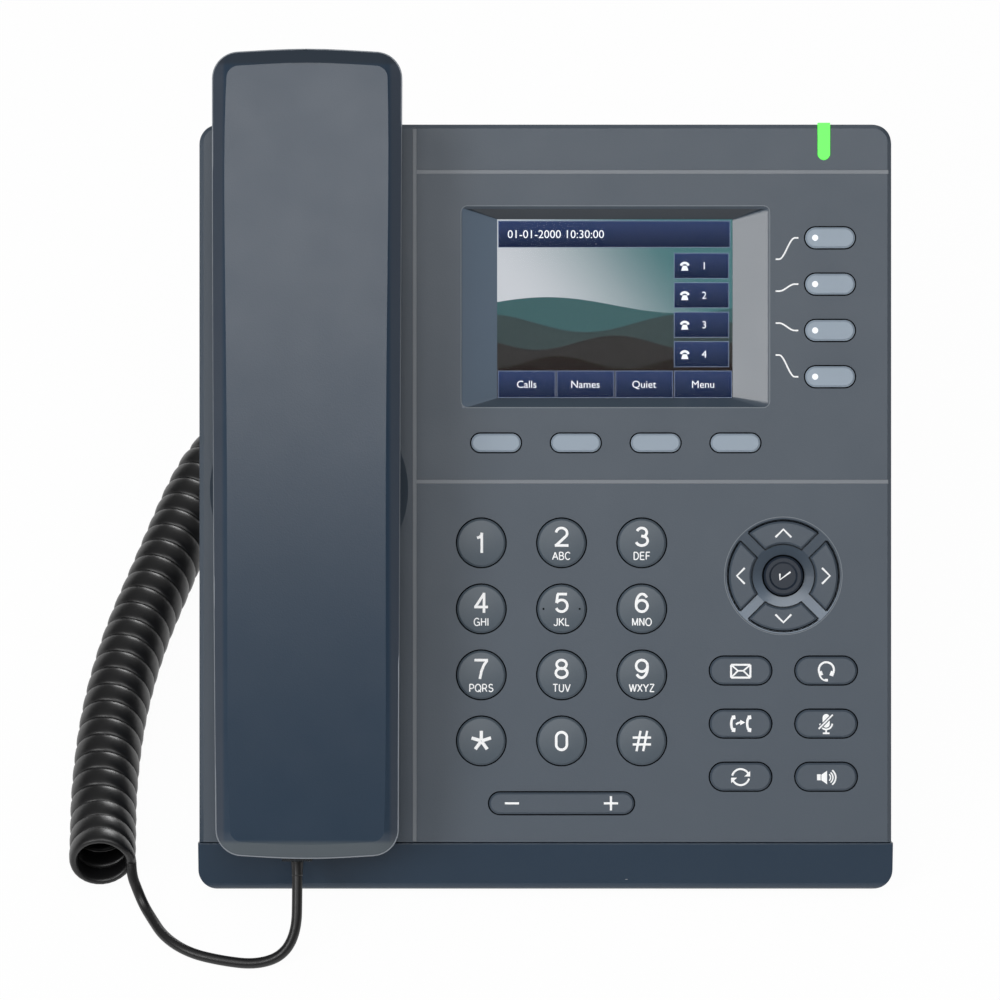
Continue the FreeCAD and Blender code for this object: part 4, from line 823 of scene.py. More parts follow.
def coil_stations():
    """Flat cord wound round its axis line, with a shoulder at the near end and a run-out at the far end."""
    size = sizes()
    axis = Line(route_line([Vector(spot) * MM for spot in COIL_ROUTE]))
    radius = (size.coil_outside - size.cord_thick) / 2
    quarter = math.pi / 2
    turn = 2 * math.pi * size.coil_turns + 3 * quarter
    rate = (axis.length - radius * quarter / 2) / (turn - quarter / 2)

    def along(angle):
        left = turn - angle
        if left < quarter:
            return axis.length - radius * left - (rate - radius) * left ** 2 / (2 * quarter)
        return rate * angle

    per_turn = 32
    steps = per_turn * size.coil_turns
    shoulder, run_out = 0.24 * math.pi, 1.6 * math.pi
    spots = []
    for i in range(steps + 1):
        angle = turn * i / steps
        centre, ahead = axis.at(along(angle))
        right = ahead.cross(Vector((0, 0, 1))).normalized()
        out = right * math.cos(angle) + right.cross(ahead) * math.sin(angle)
        share = min(angle / shoulder, (turn - angle) / run_out, 1.0)
        spots.append((centre + out * radius, out, share))
    stations = []
    lead = size.lead_diameter / 2
    for i, (point, out, share) in enumerate(spots):
        ahead = (spots[min(i + 1, steps)][0] - spots[max(i - 1, 0)][0]).normalized()
        over = (out - ahead * out.dot(ahead)).normalized()
        ease = smooth(share)
        half_width = lead + (size.cord_width / 2 - lead) * ease
        half_thick = lead + (size.cord_thick / 2 - lead) * ease
        stations.append((point, ahead.cross(over), over, half_width, half_thick))
    return stations


def plug_exit(node):
    """Middle of the end where the cord leaves a plug."""
    return FACE @ (face_middle(node) + PLUG_REACH[node])


# Digits and symbols, each drawn round its key's middle in millimetres

def digit_lines(name):
    """Closed lines and open lines of a digit."""
    ring, tail = loop(0, -0.75, 1.4, 1.4), bow(0.1, -0.4, 1.5, 2.55, 192, 42)
    lines = {
        "0": ([bow(0, 0.85, 1.3, 1.3, 0, 180) + bow(0, -0.85, 1.3, 1.3, 180, 360)], []),
        "1": ([], [[(-1.05, 1.2), (-0.4, 1.42), (0.02, 1.85), (0.18, 2.45)], [(0.12, 2.45), (0.12, -2.45)]]),
        "2": ([], [bow(0, 0.88, 1.36, 1.27, 172, -38), [(1.07, 0.12), (-1.36, -2.1)],
                   [(-1.66, -2.12), (1.68, -2.12)]]),
        "3": ([], [bow(0, 1.06, 1.2, 1.08, 162, -84), bow(0, -0.98, 1.42, 1.17, 96, -164)]),
        "4": ([], [[(-1.42, -1.0), (0.6, 2.1)], [(-1.72, -1.02), (1.62, -1.02)],
                   [(0.66, 2.45), (0.66, -2.45)]]),
        "5": ([], [[(-1.1, 2.12), (1.32, 2.12)], [(-0.92, 2.1), (-1.24, -0.02)],
                   bow(0, -0.72, 1.42, 1.43, 150, -156)]),
        "6": ([ring], [tail]),
        "7": ([], [[(-1.66, 2.12), (1.62, 2.12)], [(1.4, 2.0), (0.62, 0.9), (0.02, -0.6), (-0.34, -2.45)]]),
        "8": ([loop(0, 1.1, 1.2, 1.05), loop(0, -1.0, 1.42, 1.15)], []),
        "9": ([[(-x, -y) for x, y in ring]], [[(-x, -y) for x, y in tail]]),
    }
    return lines[name]


def letter_lines():
    """Width and lines of each capital, in a box one unit high."""
    side = 0.06
    stem = [(side, 0), (side, 1)]
    bowl = [(side, 1)] + bow(0.34, 0.72, 0.26, 0.28, 90, -90, 8) + [(side, 0.44)]
    ring = bow(0.4, 0.5, 0.38, 0.5, 0, 360, 20)
    return {
        "A": (0.72, [[(0, 0), (0.36, 1), (0.72, 0)], [(0.13, 0.34), (0.59, 0.34)]]),
        "B": (0.66, [stem, [(side, 1)] + bow(0.34, 0.765, 0.22, 0.235, 90, -90, 8) + [(side, 0.53)],
                     bow(0.36, 0.265, 0.26, 0.265, 90, -90, 8) + [(side, 0)]]),
        "C": (0.74, [bow(0.38, 0.5, 0.36, 0.5, 42, 318)]),
        "D": (0.70, [stem, [(side, 1)] + bow(0.28, 0.5, 0.38, 0.5, 90, -90, 10) + [(side, 0)]]),
        "E": (0.62, [[(0.58, 1), (side, 1), (side, 0), (0.6, 0)], [(side, 0.52), (0.54, 0.52)]]),
        "F": (0.58, [[(0.56, 1), (side, 1), (side, 0)], [(side, 0.5), (0.5, 0.5)]]),
        "G": (0.78, [bow(0.39, 0.5, 0.37, 0.5, 42, 310), [(0.73, 0.0), (0.73, 0.46), (0.42, 0.46)]]),
        "H": (0.70, [stem, [(0.64, 0), (0.64, 1)], [(side, 0.52), (0.64, 0.52)]]),
        "I": (0.16, [[(0.08, 0), (0.08, 1)]]),
        "J": (0.52, [[(0.46, 1)] + bow(0.24, 0.24, 0.22, 0.24, 0, -170, 8)]),
        "K": (0.68, [stem, [(0.64, 1), (side, 0.38)], [(0.24, 0.58), (0.68, 0)]]),
        "L": (0.56, [[(side, 1), (side, 0), (0.54, 0)]]),
        "M": (0.80, [[(side, 0), (side, 1), (0.4, 0.06), (0.74, 1), (0.74, 0)]]),
        "N": (0.70, [[(side, 0), (side, 1), (0.64, 0), (0.64, 1)]]),
        "O": (0.80, [ring]),
        "P": (0.62, [stem, bowl]),
        "Q": (0.80, [ring, [(0.46, 0.24), (0.78, -0.06)]]),
        "R": (0.68, [stem, bowl, [(0.36, 0.44), (0.64, 0)]]),
        "S": (0.66, [bow(0.33, 0.75, 0.25, 0.25, 25, 270, 12), bow(0.33, 0.25, 0.28, 0.25, 90, -155, 12)]),
        "T": (0.64, [[(0, 1), (0.64, 1)], [(0.32, 1), (0.32, 0)]]),
        "U": (0.68, [[(side, 1)] + bow(0.34, 0.3, 0.28, 0.3, 180, 360, 10) + [(0.62, 1)]]),
        "V": (0.68, [[(0, 1), (0.34, 0), (0.68, 1)]]),
        "W": (0.96, [[(0, 1), (0.25, 0), (0.48, 1), (0.71, 0), (0.96, 1)]]),
        "X": (0.62, [[(0, 0), (0.62, 1)], [(0, 1), (0.62, 0)]]),
        "Y": (0.68, [[(0, 1), (0.34, 0.45), (0.68, 1)], [(0.34, 0.45), (0.34, 0)]]),
        "Z": (0.64, [[(0.04, 1), (0.6, 1), (0.02, 0), (0.62, 0)]]),
    }


def envelope(ink):
    left, right, bottom, top = -2.35, 2.4, -1.72, 1.42
    fold, waist, line, edge = 0.66, -0.05, 0.42, 0.52
    for start, end in (((left, bottom), (right, bottom)), ((left, top), (right, top)),
                       ((left, bottom), (left, top)), ((right, bottom), (right, top))):
        ink.stroke([start, end], edge)
    ink.stroke([(left, top), (-fold, waist), (fold, waist), (right, top)], line)
    ink.stroke([(left, bottom), (-fold, waist)], line)
    ink.stroke([(right, bottom), (fold, waist)], line)


def headset(ink):
    middle, band = 0.05, 1.86
    ink.arc(middle, 0.2, band, -16, 196, 0.54)
    ink.stroke([(middle + 1.62, -0.2), (middle + 1.2, -1.3)], 1.02)
    ink.stroke([(middle - 1.62, -0.2), (middle - 1.24, -1.2)], 1.02)
    ink.stroke([(-1.72, -0.6), (-1.5, -1.4), (-1.05, -2.05), (-0.55, -2.36), (0.1, -2.4)], 0.4)
    ink.stroke([(-0.35, -2.36), (0.42, -2.36)], 0.68)


def small_handset(ink, x):
    """Upright handset whose cups point to the right."""
    ink.stroke([(x + 0.35, 1.6), (x + 0.02, 1.3), (x - 0.14, 0.7), (x - 0.2, 0.0), (x - 0.14, -0.7),
                (x + 0.02, -1.3), (x + 0.35, -1.6)], 0.64)
    for side in (-1, 1):
        ink.fill([(x - 0.12, side * 1.95), (x + 0.74, side * 2.1),
                  (x + 0.86, side * 1.15), (x + 0.1, side * 1.0)])


def transfer(ink):
    small_handset(ink, -2.1)
    small_handset(ink, 1.8)
    ink.stroke([(-1.15, -0.18), (-0.75, 0.12), (-0.2, 0.3), (0.2, 0.32)], 0.5)
    ink.fill([(-0.1, 0.96), (1.12, 0.3), (-0.1, -0.38)])


def crossed_microphone(ink):
    """Microphone on its foot; the slash over it comes later."""
    half, top, bottom = 0.88, 1.5, -0.1
    ink.fill(bow(0.0, top, half, half, 0, 180, 12) + bow(0.0, bottom, half, half, 180, 360, 12))
    ink.arc(0.0, 0.12, 1.52, 184, 356, 0.42)
    ink.stroke([(0.0, -1.4), (0.0, -2.2)], 0.44)
    ink.stroke([(-0.82, -2.36), (0.82, -2.36)], 0.44)


def circling_arrows(ink):
    radius = 2.12
    ink.arc(0.0, -0.22, radius, 166, 26, 0.5)
    ink.fill([(2.34, 1.42), (2.34, 0.08), (0.9, 0.08)])
    ink.arc(0.0, 0.08, radius, 346, 206, 0.5)
    ink.fill([(-2.34, -1.56), (-2.34, -0.22), (-0.9, -0.22)])


def loudspeaker(ink):
    ink.fill([(-2.25, 0.62), (-1.35, 0.62), (-1.35, -0.86), (-2.25, -0.86)])
    ink.fill([(-1.18, 0.5), (0.22, 1.5), (0.22, -1.84), (-1.18, -0.84)])
    for radius, spread, width in ((1.0, 50, 0.32), (1.58, 52, 0.36), (2.25, 52, 0.42)):
        ink.arc(0.1, -0.16, radius, -spread, spread, width)


def small_telephone(ink, x, y):
    """Telephone with its handset across the top."""
    ink.arc(x, y - 0.3, 1.0, 20, 160, 0.6)
    ink.fill([(x - 0.9, y - 1.2), (x + 0.9, y - 1.2), (x + 0.5, y), (x - 0.5, y)])


FUNCTION_SYMBOLS = {"message_key": envelope, "headset_key": headset, "transfer_key": transfer,
                    "mute_key": crossed_microphone, "redial_key": circling_arrows, "speaker_key": loudspeaker}


# Operators

class PHONE_OT_housing(bpy.types.Operator):
    """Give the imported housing, keys and handset their finishes."""

    bl_idname = "phone.housing"
    bl_label = "Housing finishes"

    def execute(self, context):
        for finish, nodes in DRESSING.items():
            for node in nodes:
                mesh = frame["nodes"][node].data
                mesh.materials.clear()
                mesh.materials.append(finish_for(finish))
        return {"FINISHED"}


class PHONE_OT_cord(bpy.types.Operator):
    """Run the coiled cord and its two leads."""

    bl_idname = "phone.cord"
    bl_label = "Coiled cord"

    def execute(self, context):
        size = sizes()
        coil = coil_stations()
        lead = size.lead_diameter / 2
        base_exit = plug_exit("base_plug")
        route = [coil[-1][0]] + [Vector(p) * MM for p in BASE_LEAD_ROUTE] + [base_exit]
        tail = lead_stations(route_line(route), lead, coil[-1][2])
        stations = coil + tail[1:]
        wound = swept("coiled_cord", stations, "cord", "base")
        path = [s[0] for s in reversed(stations)]
        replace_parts(wound, "cord_coil", "cord_base_lead")
        Line(path).length

        handset_exit = plug_exit("handset_plug")
        route = [coil[0][0]] + [Vector(p) * MM for p in HANDSET_LEAD_ROUTE] + [handset_exit]
        line = route_line(route)
        front = swept("handset_lead", lead_stations(line, lead, coil[0][2]), "cord", None)
        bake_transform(front)
        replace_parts(front, "cord_handset_lead")
        path = list(reversed(line))
        Line(path).length
        return {"FINISHED"}


class PHONE_OT_small_parts(bpy.types.Operator):
    """Set the boot on the cord at the handset's plug, and the front pads."""

    bl_idname = "phone.small_parts"
    bl_label = "Boot and pads"

    def execute(self, context):
        self.boot()
        self.pads()
        return {"FINISHED"}

    def boot(self):
        """Short tapered collar where the cord leaves the handset's plug."""
        start = plug_exit("handset_plug")
        run, root, tip, steps = 3.6, 1.62, 1.34, 12
        stations = []
        for i in range(steps + 1):
            share = i / steps
            half = root + (tip - root) * share * (2 - share)
            spot = start - FACE_UP * (run * share * MM)
            stations.append((spot, FACE_RIGHT, FACE_OUT, half * MM, half * MM))
        swept("handset_boot", stations, "cord", "handset")

    def pads(self):
        """Round-ended rubber pads set back under the chin."""
        low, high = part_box("front_feet")
        long, wide, back, rim = 22.0, 4.6, 0.2, 0.35
        mesh = bmesh.new()
        for left in (low.x / MM, high.x / MM - long):
            outline = pill(left + long / 2, high.y / MM + back - wide / 2, long / 2, wide / 2)
            raised(mesh, [(x * MM, y * MM) for x, y in outline], 0, high.z)
        bmesh.ops.recalc_face_normals(mesh, faces=mesh.faces)
        rims = [e for e in mesh.edges if e.verts[0].co.z == e.verts[1].co.z == 0]
        bmesh.ops.bevel(mesh, geom=rims, offset=rim * MM, affect="EDGES", segments=2, profile=0.5,
                        material=-1)
        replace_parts(piece("front_pads", mesh, "rubber", "base"), "front_feet")


class PHONE_OT_inlays(bpy.types.Operator):
    """Lay the pale division lines in the face."""

    bl_idname = "phone.inlays"
    bl_label = "Division lines"

    def execute(self, context):
        half = sizes().inlay_width / MM / 2
        low, high, bevel = -0.38, 0.02, 0.05
        column, upper, lower = -32.2, 176.6, 100.4
        right, bottom, top = 84.3, 11.9, 187.2
        mesh = bmesh.new()
        slab(mesh, column - half, column + half, bottom, top, low, high, bevel)
        for level in (upper, lower):
            slab(mesh, column + half, right, level - half, level + half, low, high, bevel)
        bmesh.ops.transform(mesh, matrix=FACE, verts=mesh.verts)
        piece("division_lines", mesh, "inlay", "base")
        return {"FINISHED"}


class PHONE_OT_painted_edges(bpy.types.Operator):
    """Lay a dark line of painted shade round every key, and the light rims of the screen, pad and handset,
    which are painted highlights.
    """

    bl_idname = "phone.seals"
    bl_label = "Key shadowlines and rims"

    def execute(self, context):
        width, off, level, dial_radius, pad_radius = 0.58, 0.3, -0.235, 5.95, 14.5
        ink = Print(0, 0, SHADOW_LINE_THICK)
        for name in DIGIT_LETTERS:
            x, y = key_centre("digit_key_" + name)
            ink.stroke(loop(x, y, dial_radius + off, dial_radius + off, 48), width, closed=True)
        for node, (long, wide) in self.bars():
            ink.stroke(pill(*key_centre(node), long / 2 + off, wide / 2 + off), width, closed=True)
        ink.done("key_shadow_lines", "seal", "base", "foot_rubber", flat(level))
        self.pad()
        self.rim("pad_rim_highlight", key_centre("ok_key"), loop(0, 0, pad_radius, pad_radius, 64))
        self.handset_rim_highlight()
        self.rim("screen_rim_highlight", (0, 0), self.screen_edge())
        return {"FINISHED"}

    def bars(self):
        """Every bar key's node with its length and width."""
        sizes_of = {"soft": (12.2, 4.5), "line": (12.2, 5.1)}
        rows = [(f"{row}_key_{i}", sizes_of[row]) for row in sizes_of for i in (1, 2, 3, 4)]
        rows += [(node, (15.1, 6.8)) for node in FUNCTION_SYMBOLS]
        return rows + [("volume_rocker", (35.6, 5.3))]

    def pad(self):
        """Broad dark line of painted shade outside the four direction keys, and a ring of it round the middle
        key.
        """
        outer, inner, middle, half_spoke = 13.85, 7.76, 5.1, 1.5
        broad, thin, floor, level = 0.95, 0.5, -1.1, -0.25
        ink = Print(*key_centre("ok_key"), SHADOW_LINE_THICK)
        lean = 45 - math.degrees(math.asin(half_spoke / outer))
        for turn in (0, 90, 180, 270):
            ink.arc(0, 0, outer, turn - lean, turn + lean, broad, 24)
        ink.stroke(loop(0, 0, middle, middle, 40), thin, closed=True)
        ink.done("pad_shadow_lines", "seal", "base", "foot_rubber",
                 lambda spot: floor if spot.length < inner else level)

    def rim(self, name, centre, line):
        """Thin bright edge where the face turns down: a painted highlight."""
        width, thick, level = 0.36, 0.3, -0.12
        ink = Print(*centre, thick)
        ink.stroke(line, width, closed=True)
        ink.done(name, "rim", "base", "slate_plastic", flat(level))

    def screen_edge(self):
        """Outline with round corners about the screen's slopes."""
        left, right, bottom, top, corner = -20.8, 55.2, 118.6, 168.3, 1.6
        points = []
        for x, y, start in ((right - corner, top - corner, 0), (left + corner, top - corner, 90),
                            (left + corner, bottom + corner, 180), (right - corner, bottom + corner, 270)):
            points += bow(x, y, corner, corner, start, start + 90, 6)
        return points

    def handset_rim_highlight(self):
        """Thin pale ridge round the handset, where its bevel ends: a painted highlight on the rim."""
        half, wall_top = 0.17, 16.0
        spots = [s for s in face_spots("handset_outer_shell") if s.z > wall_top]
        outline = [FACE @ spots[i] for i in geometry.convex_hull_2d([s.xy for s in spots])]
        line = outline[-1:] + outline + outline[:1]
        stations = lead_stations(line, half * MM, FACE_OUT)[1:-1]
        swept("handset_rim_highlight", stations, "bead", "handset", loop_back=True)


class PHONE_OT_screen(bpy.types.Operator):
    """Light the screen with a plain picture, a clock bar and tabs."""

    bl_idname = "phone.screen"
    bl_label = "Screen picture"

    def execute(self, context):
        panel_lift, words_lift = 0.03, 0.06
        whole = (SCREEN_LEFT, SCREEN_RIGHT, SCREEN_BOTTOM, SCREEN_TOP)
        self.panel("screen_picture", whole, SCREEN_DEPTH, screen_picture())
        brighter, least, darker = 1.5, 0.01, 0.48
        bar = colours().screen_bar
        bright = [min(1.0, c * brighter + least) for c in bar]
        dark = [c * darker for c in bar]
        boxes = self.boxes()
        for index, box in enumerate(boxes):
            shade = screen_panel(f"screen_panel_{index}", dark, bright, *box[2:])
            self.panel(f"screen_panel_{index}", box, SCREEN_DEPTH + panel_lift, shade)
        self.words(boxes, SCREEN_DEPTH + words_lift)
        return {"FINISHED"}

    def boxes(self):
        """Left, right, bottom and top of the clock bar, the four tabs and the four line tabs."""
        bar_left, bar_right, bar_drop, bar_inset = 0.3, 0.6, 6.9, 0.4
        tab_inset, tab_rise, tab_width, tab_height, tab_pitch = 0.25, 0.15, 14.05, 6.55, 14.5
        line_left, line_right, line_rise, line_height, line_pitch = 14.35, 0.9, 7.75, 6.2, 7.27
        made = [(SCREEN_LEFT + bar_left, SCREEN_RIGHT - bar_right,
                 SCREEN_TOP - bar_drop, SCREEN_TOP - bar_inset)]
        for i in range(4):
            start, foot = SCREEN_LEFT + tab_inset + i * tab_pitch, SCREEN_BOTTOM + tab_rise
            made.append((start, start + tab_width, foot, foot + tab_height))
        for i in range(4):
            foot = SCREEN_BOTTOM + line_rise + (3 - i) * line_pitch
            made.append((SCREEN_RIGHT - line_left, SCREEN_RIGHT - line_right, foot, foot + line_height))
        return made

    def panel(self, name, box, depth, material):
        """Thin lit plate over a box on the screen."""
        thick, bevel = 0.02, 0.005
        mesh = bmesh.new()
        slab(mesh, *box, depth - thick, depth, bevel)
        bmesh.ops.transform(mesh, matrix=FACE, verts=mesh.verts)
        piece(name, mesh, material, "base")

    def words(self, boxes, depth):
        """Clock, tab names, line numbers with a small telephone, and a border round every box."""
        thick, edge, clock_height, tab_height = 0.02, 0.17, 1.95, 1.75
        clock_start, number_place, sign_place = 2.3, 7.4, 2.6
        tabs = ("Calls", "Names", "Quiet", "Menu")
        ink, border = Print(0, 0, thick), Print(0, 0, thick)
        for index, (left, right, bottom, top) in enumerate(boxes):
            middle = (bottom + top) / 2
            border.stroke([(left, bottom), (right, bottom), (right, top), (left, top)], edge, closed=True)
            if index == 0:
                ink.text("01-01-2000 10:30:00", clock_height, left + clock_start, middle, left=True)
            elif index <= len(tabs):
                ink.text(tabs[index - 1], tab_height, (left + right) / 2, middle)
            else:
                ink.text(str(index - len(tabs)), tab_height, left + number_place, middle)
                small_telephone(ink, left + sign_place, middle)
        ink.done("screen_words", "screen_words", "base", "display", flat(depth))
        border.done("screen_borders", "screen_borders", "base", "display", flat(depth))


class PHONE_OT_digits(bpy.types.Operator):
    """Print the digits and letters on the dial keys."""

    bl_idname = "phone.digits"
    bl_label = "Dial legends"

    def execute(self, context):
        size = sizes()
        grow, letter = size.digit_height / MM / DIGIT_DRAWN, size.letter_height / MM
        rise, drop, line, small_line = 1.5, 3.2, 0.68, 0.29
        star_root, star_arm, star_line = 0.1, 2.5, 0.86
        bar_off, bar_lean, bar_half, bar_line, cross_off, cross_half = 0.82, 0.5, 2.5, 0.58, 0.85, 2.25
        for name, letters in DIGIT_LETTERS.items():
            node = "digit_key_" + name
            ink = Print(*key_centre(node))
            if name == "star":
                for x, y in loop(0, 0, 1, 1, 5):
                    ink.stroke([(-y * star_root, x * star_root), (-y * star_arm, x * star_arm)], star_line)
            elif name == "hash":
                for side in (-1, 1):
                    off = side * bar_off
                    ink.stroke([(off - bar_lean, -bar_half), (off + bar_lean, bar_half)], bar_line)
                    ink.stroke([(-cross_half, side * cross_off), (cross_half, side * cross_off)], bar_line)
            else:
                lift = rise if letters else 0
                for lines, closed in zip(digit_lines(name), (True, False)):
                    for points in lines:
                        ink.stroke([(x * grow, y * grow + lift) for x, y in points], line, closed)
            if letters:
                ink.capitals(letters, letter, 0.0, -drop, small_line)
            ink.divide()
            ink.done("legend_" + name, "legend", node, "pale_key", crowned)
        self.five_marks()
        return {"FINISHED"}

    def five_marks(self):
        """Two dark dots beside the five, felt by the finger."""
        off, radius = 4.45, 0.26
        ink = Print(*key_centre("digit_key_5"))
        for side in (-1, 1):
            ink.fill(loop(side * off, 0, radius, radius, 20))
        ink.done("five_marks", "seal", "digit_key_5", "black_plastic", crowned)


class PHONE_OT_symbols(bpy.types.Operator):
    """Print the symbols on the function, direction and volume keys."""

    bl_idname = "phone.symbols"
    bl_label = "Key symbols"

    def execute(self, context):
        for node, draw in FUNCTION_SYMBOLS.items():
            ink = Print(*key_centre(node))
            draw(ink)
            ink.done("symbol_" + node, "legend", node, "pale_key", flat(BAR_KEY_TOP))
        self.slash()
        self.directions()
        self.tick()
        self.volume()
        return {"FINISHED"}

    def slash(self):
        """Slash over the microphone, with a bare strip beside it."""
        ends = [(-1.85, -1.3), (1.62, 2.2)]
        layers = (("mute_gap", "slate", 0.86, 0.02), ("mute_slash", "legend", 0.4, 0.04))
        for name, finish, width, lift in layers:
            ink = Print(*key_centre("mute_key"))
            ink.stroke(ends, width)
            ink.done(name, finish, "mute_key", "pale_key", flat(BAR_KEY_TOP + lift))

    def directions(self):
        """Chevron on each of the four direction keys."""
        apex, feet, half, line, top = 11.45, 9.5, 1.95, 0.5, 0.51
        middle = key_centre("ok_key")
        for node, turn in (("right_key", 0), ("up_key", 90), ("left_key", 180), ("down_key", 270)):
            spin = Matrix.Rotation(math.radians(turn), 2)
            ink = Print(*middle)
            ink.stroke([spin @ Vector(p) for p in ((feet, half), (apex, 0), (feet, -half))], line)
            ink.done("chevron_" + node, "legend", node, "pale_key", flat(top))

    def tick(self):
        """Tick in the dish of the middle key."""
        dish, floor, rim, over, line = 3.5, 0.05, 0.5, 0.01, 0.46
        ink = Print(*key_centre("ok_key"))
        ink.stroke([(-0.83, 0.55), (-0.83, -0.95), (1.75, 0.95)], line)
        ink.done("tick", "legend", "ok_key", "pale_key",
                 lambda spot: floor + (rim - floor) * min(1.0, spot.length_squared / dish ** 2) + over)

    def volume(self):
        """Minus and plus on the volume key."""
        minus, plus, half, line = -12.2, 12.15, 1.75, 0.56
        ink = Print(*key_centre("volume_rocker"))
        ink.stroke([(minus - half, 0), (minus + half, 0)], line)
        ink.stroke([(plus - half, 0), (plus + half, 0)], line)
        ink.stroke([(plus, -half), (plus, half)], line)
        ink.done("volume_marks", "legend", "volume_rocker", "pale_key", flat(BAR_KEY_TOP))


class PHONE_OT_line_marks(bpy.types.Operator):
    """Print the leaders to the line keys and set a lamp in each key."""

    bl_idname = "phone.line_marks"
    bl_label = "Line leaders and lamps"

    def execute(self, context):
        tab_x, key_x, tab_pitch, tab_middle, line, over = 56.6, 62.2, 7.86, 143.35, 0.4, 0.01
        lamp_left, lamp_radius, lamp_thick, lamp_top = 3.7, 0.76, 0.1, 0.82
        ink = Print(0, 0)
        for i in range(4):
            node = f"line_key_{i + 1}"
            x, y = key_centre(node)
            start = tab_middle + (1.5 - i) * tab_pitch
            ink.stroke(self.leader((tab_x, start), (key_x, y)), line)
            lamp = Print(x - lamp_left, y, lamp_thick)
            lamp.fill(loop(0, 0, lamp_radius, lamp_radius, 28))
            lamp.done("line_lamp_" + str(i + 1), "line_lamp", node, "pale_key", flat(lamp_top))
        ink.done("line_leaders", "legend", "base", "pale_key", flat(over))
        return {"FINISHED"}

    def leader(self, start, end):
        """Line with level ends and an eased slope between them."""
        run, steps = 0.9, 14
        wide, tall = end[0] - start[0] - 2 * run, end[1] - start[1]
        shares = [i / steps for i in range(steps + 1)]
        slope = [(start[0] + run + wide * share, start[1] + tall * smooth(share)) for share in shares]
        return [start] + slope + [end]


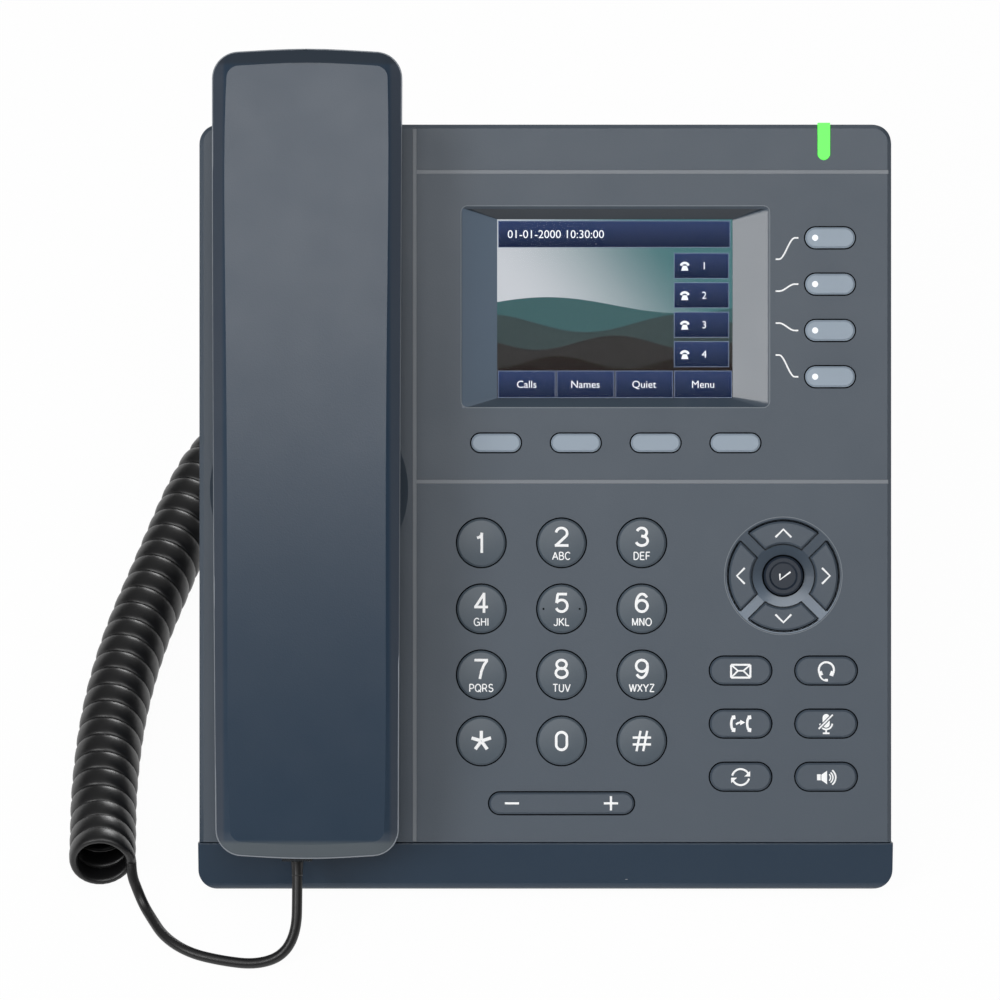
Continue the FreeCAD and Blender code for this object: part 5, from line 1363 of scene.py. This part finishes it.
class PHONE_OT_stage(bpy.types.Operator):
    """Floor, soft lights, world and camera."""

    bl_idname = "phone.stage"
    bl_label = "Stage"

    def execute(self, context):
        self.floor()
        self.world()
        self.light("top_light", height=61.0, side=0.0, distance=1.9, width=1.1, power=14.0)
        self.light("left_light", height=35.0, side=-47.0, distance=2.0, width=0.75, power=13.0)
        self.light("back_light", height=9.0, side=172.0, distance=2.0, width=0.6, power=11.0)
        self.camera()
        return {"FINISHED"}

    def floor(self):
        """White floor that is paper to the camera and keeps a soft shadow."""
        half, whiteness = 6.0, 0.97
        finish = Finish("floor")
        shade = finish.mix(finish.noise(6.0), (0.93, 0.93, 0.93), (0.95, 0.95, 0.95))
        paper = finish.node("ShaderNodeBsdfDiffuse", None, {"Color": shade})
        glow = finish.node("ShaderNodeEmission", None, {"Color": (1, 1, 1, 1), "Strength": 1.0})
        path = finish.tree.nodes.new("ShaderNodeLightPath")
        seen = Value(finish, path.outputs["Is Camera Ray"])
        for ray in ("Is Glossy Ray", "Is Transmission Ray"):
            seen = finish.arithmetic("MAXIMUM", seen, Value(finish, path.outputs[ray]))
        mixed = finish.node("ShaderNodeMixShader", None, {0: seen * whiteness, 1: paper, 2: glow})
        finish.tree.links.new(mixed.socket, finish.output.inputs["Surface"])
        mesh = bmesh.new()
        bmesh.ops.create_grid(mesh, x_segments=2, y_segments=2, size=half)
        solid("floor", mesh, finish.material)

    def world(self):
        """Even studio walls that brighten towards the ceiling."""
        scene = bpy.context.scene
        world = bpy.data.worlds.new("studio")
        scene.world = world
        world.use_nodes = True
        nodes, links = world.node_tree.nodes, world.node_tree.links
        back = nodes["Background"]
        place = nodes.new("ShaderNodeTexCoord")
        split = nodes.new("ShaderNodeSeparateXYZ")
        ramp = nodes.new("ShaderNodeValToRGB")
        links.new(place.outputs["Generated"], split.inputs[0])
        links.new(split.outputs["Z"], ramp.inputs["Fac"])
        links.new(ramp.outputs["Color"], back.inputs["Color"])
        wall, ceiling, strength = (0.35, 0.3), (0.95, 1.0), 0.42
        for element, (height, grey) in zip(ramp.color_ramp.elements, (wall, ceiling)):
            element.position = height
            element.color = (grey, grey, grey, 1)
        back.inputs["Strength"].default_value = strength
        scene.view_settings.view_transform = "Standard"

    def light(self, name, height, side, distance, width, power):
        """Square softbox at angles above the desk and to the side of the front, aimed at the face."""
        rise, turn = math.radians(height), math.radians(side)
        aim_at = FACE @ Vector((0, 95, 0))
        way = Vector((math.sin(turn) * math.cos(rise), -math.cos(turn) * math.cos(rise), math.sin(rise)))
        lamp = bpy.data.lights.new(name, "AREA")
        lamp.energy = power
        lamp.shape = "SQUARE"
        lamp.size = width
        holder = linked(name, lamp)
        holder.location = aim_at + way * distance
        holder.rotation_euler = (-way).to_track_quat("-Z", "Y").to_euler()

    def camera(self):
        """Square on to the face from two metres, the picture 246 mm wide."""
        lens = bpy.data.cameras.new("camera")
        lens.sensor_width = 36.0
        distance, width = 2.05, 0.246
        lens.lens = lens.sensor_width * distance / width
        lens.clip_end = 20.0
        camera = linked("camera", lens)
        target = FACE @ Vector((-11.2, 95.9, 0))
        camera.matrix_world = Matrix.Translation(target + FACE_OUT * distance) @ FACE_TURN.to_4x4()
        bpy.context.scene.camera = camera


STEPS = (PHONE_OT_housing, PHONE_OT_small_parts, PHONE_OT_cord, PHONE_OT_inlays, PHONE_OT_painted_edges,
         PHONE_OT_screen, PHONE_OT_digits, PHONE_OT_symbols, PHONE_OT_line_marks, PHONE_OT_stage)


class PHONE_PT_panel(bpy.types.Panel):
    """Colours, sizes and steps of the telephone."""

    bl_idname = "PHONE_PT_panel"
    bl_label = "Telephone"
    bl_space_type = "VIEW_3D"
    bl_region_type = "UI"
    bl_category = "Telephone"

    def draw(self, context):
        for group in (context.scene.phone_colours, context.scene.phone_sizes):
            for name in group.__annotations__:
                self.layout.prop(group, name)
        for step in STEPS:
            self.layout.operator(step.bl_idname)


CLASSES = (PhoneColours, PhoneSizes) + STEPS + (PHONE_PT_panel,)


def register():
    for made in CLASSES:
        bpy.utils.register_class(made)
    bpy.types.Scene.phone_colours = PointerProperty(type=PhoneColours)
    bpy.types.Scene.phone_sizes = PointerProperty(type=PhoneSizes)


def unregister():
    del bpy.types.Scene.phone_colours
    del bpy.types.Scene.phone_sizes
    for made in reversed(CLASSES):
        bpy.utils.unregister_class(made)


def main():
    register()
    for step in STEPS:
        group, name = step.bl_idname.split(".")
        getattr(getattr(bpy.ops, group), name)()


if __name__ == "__main__":
    main()
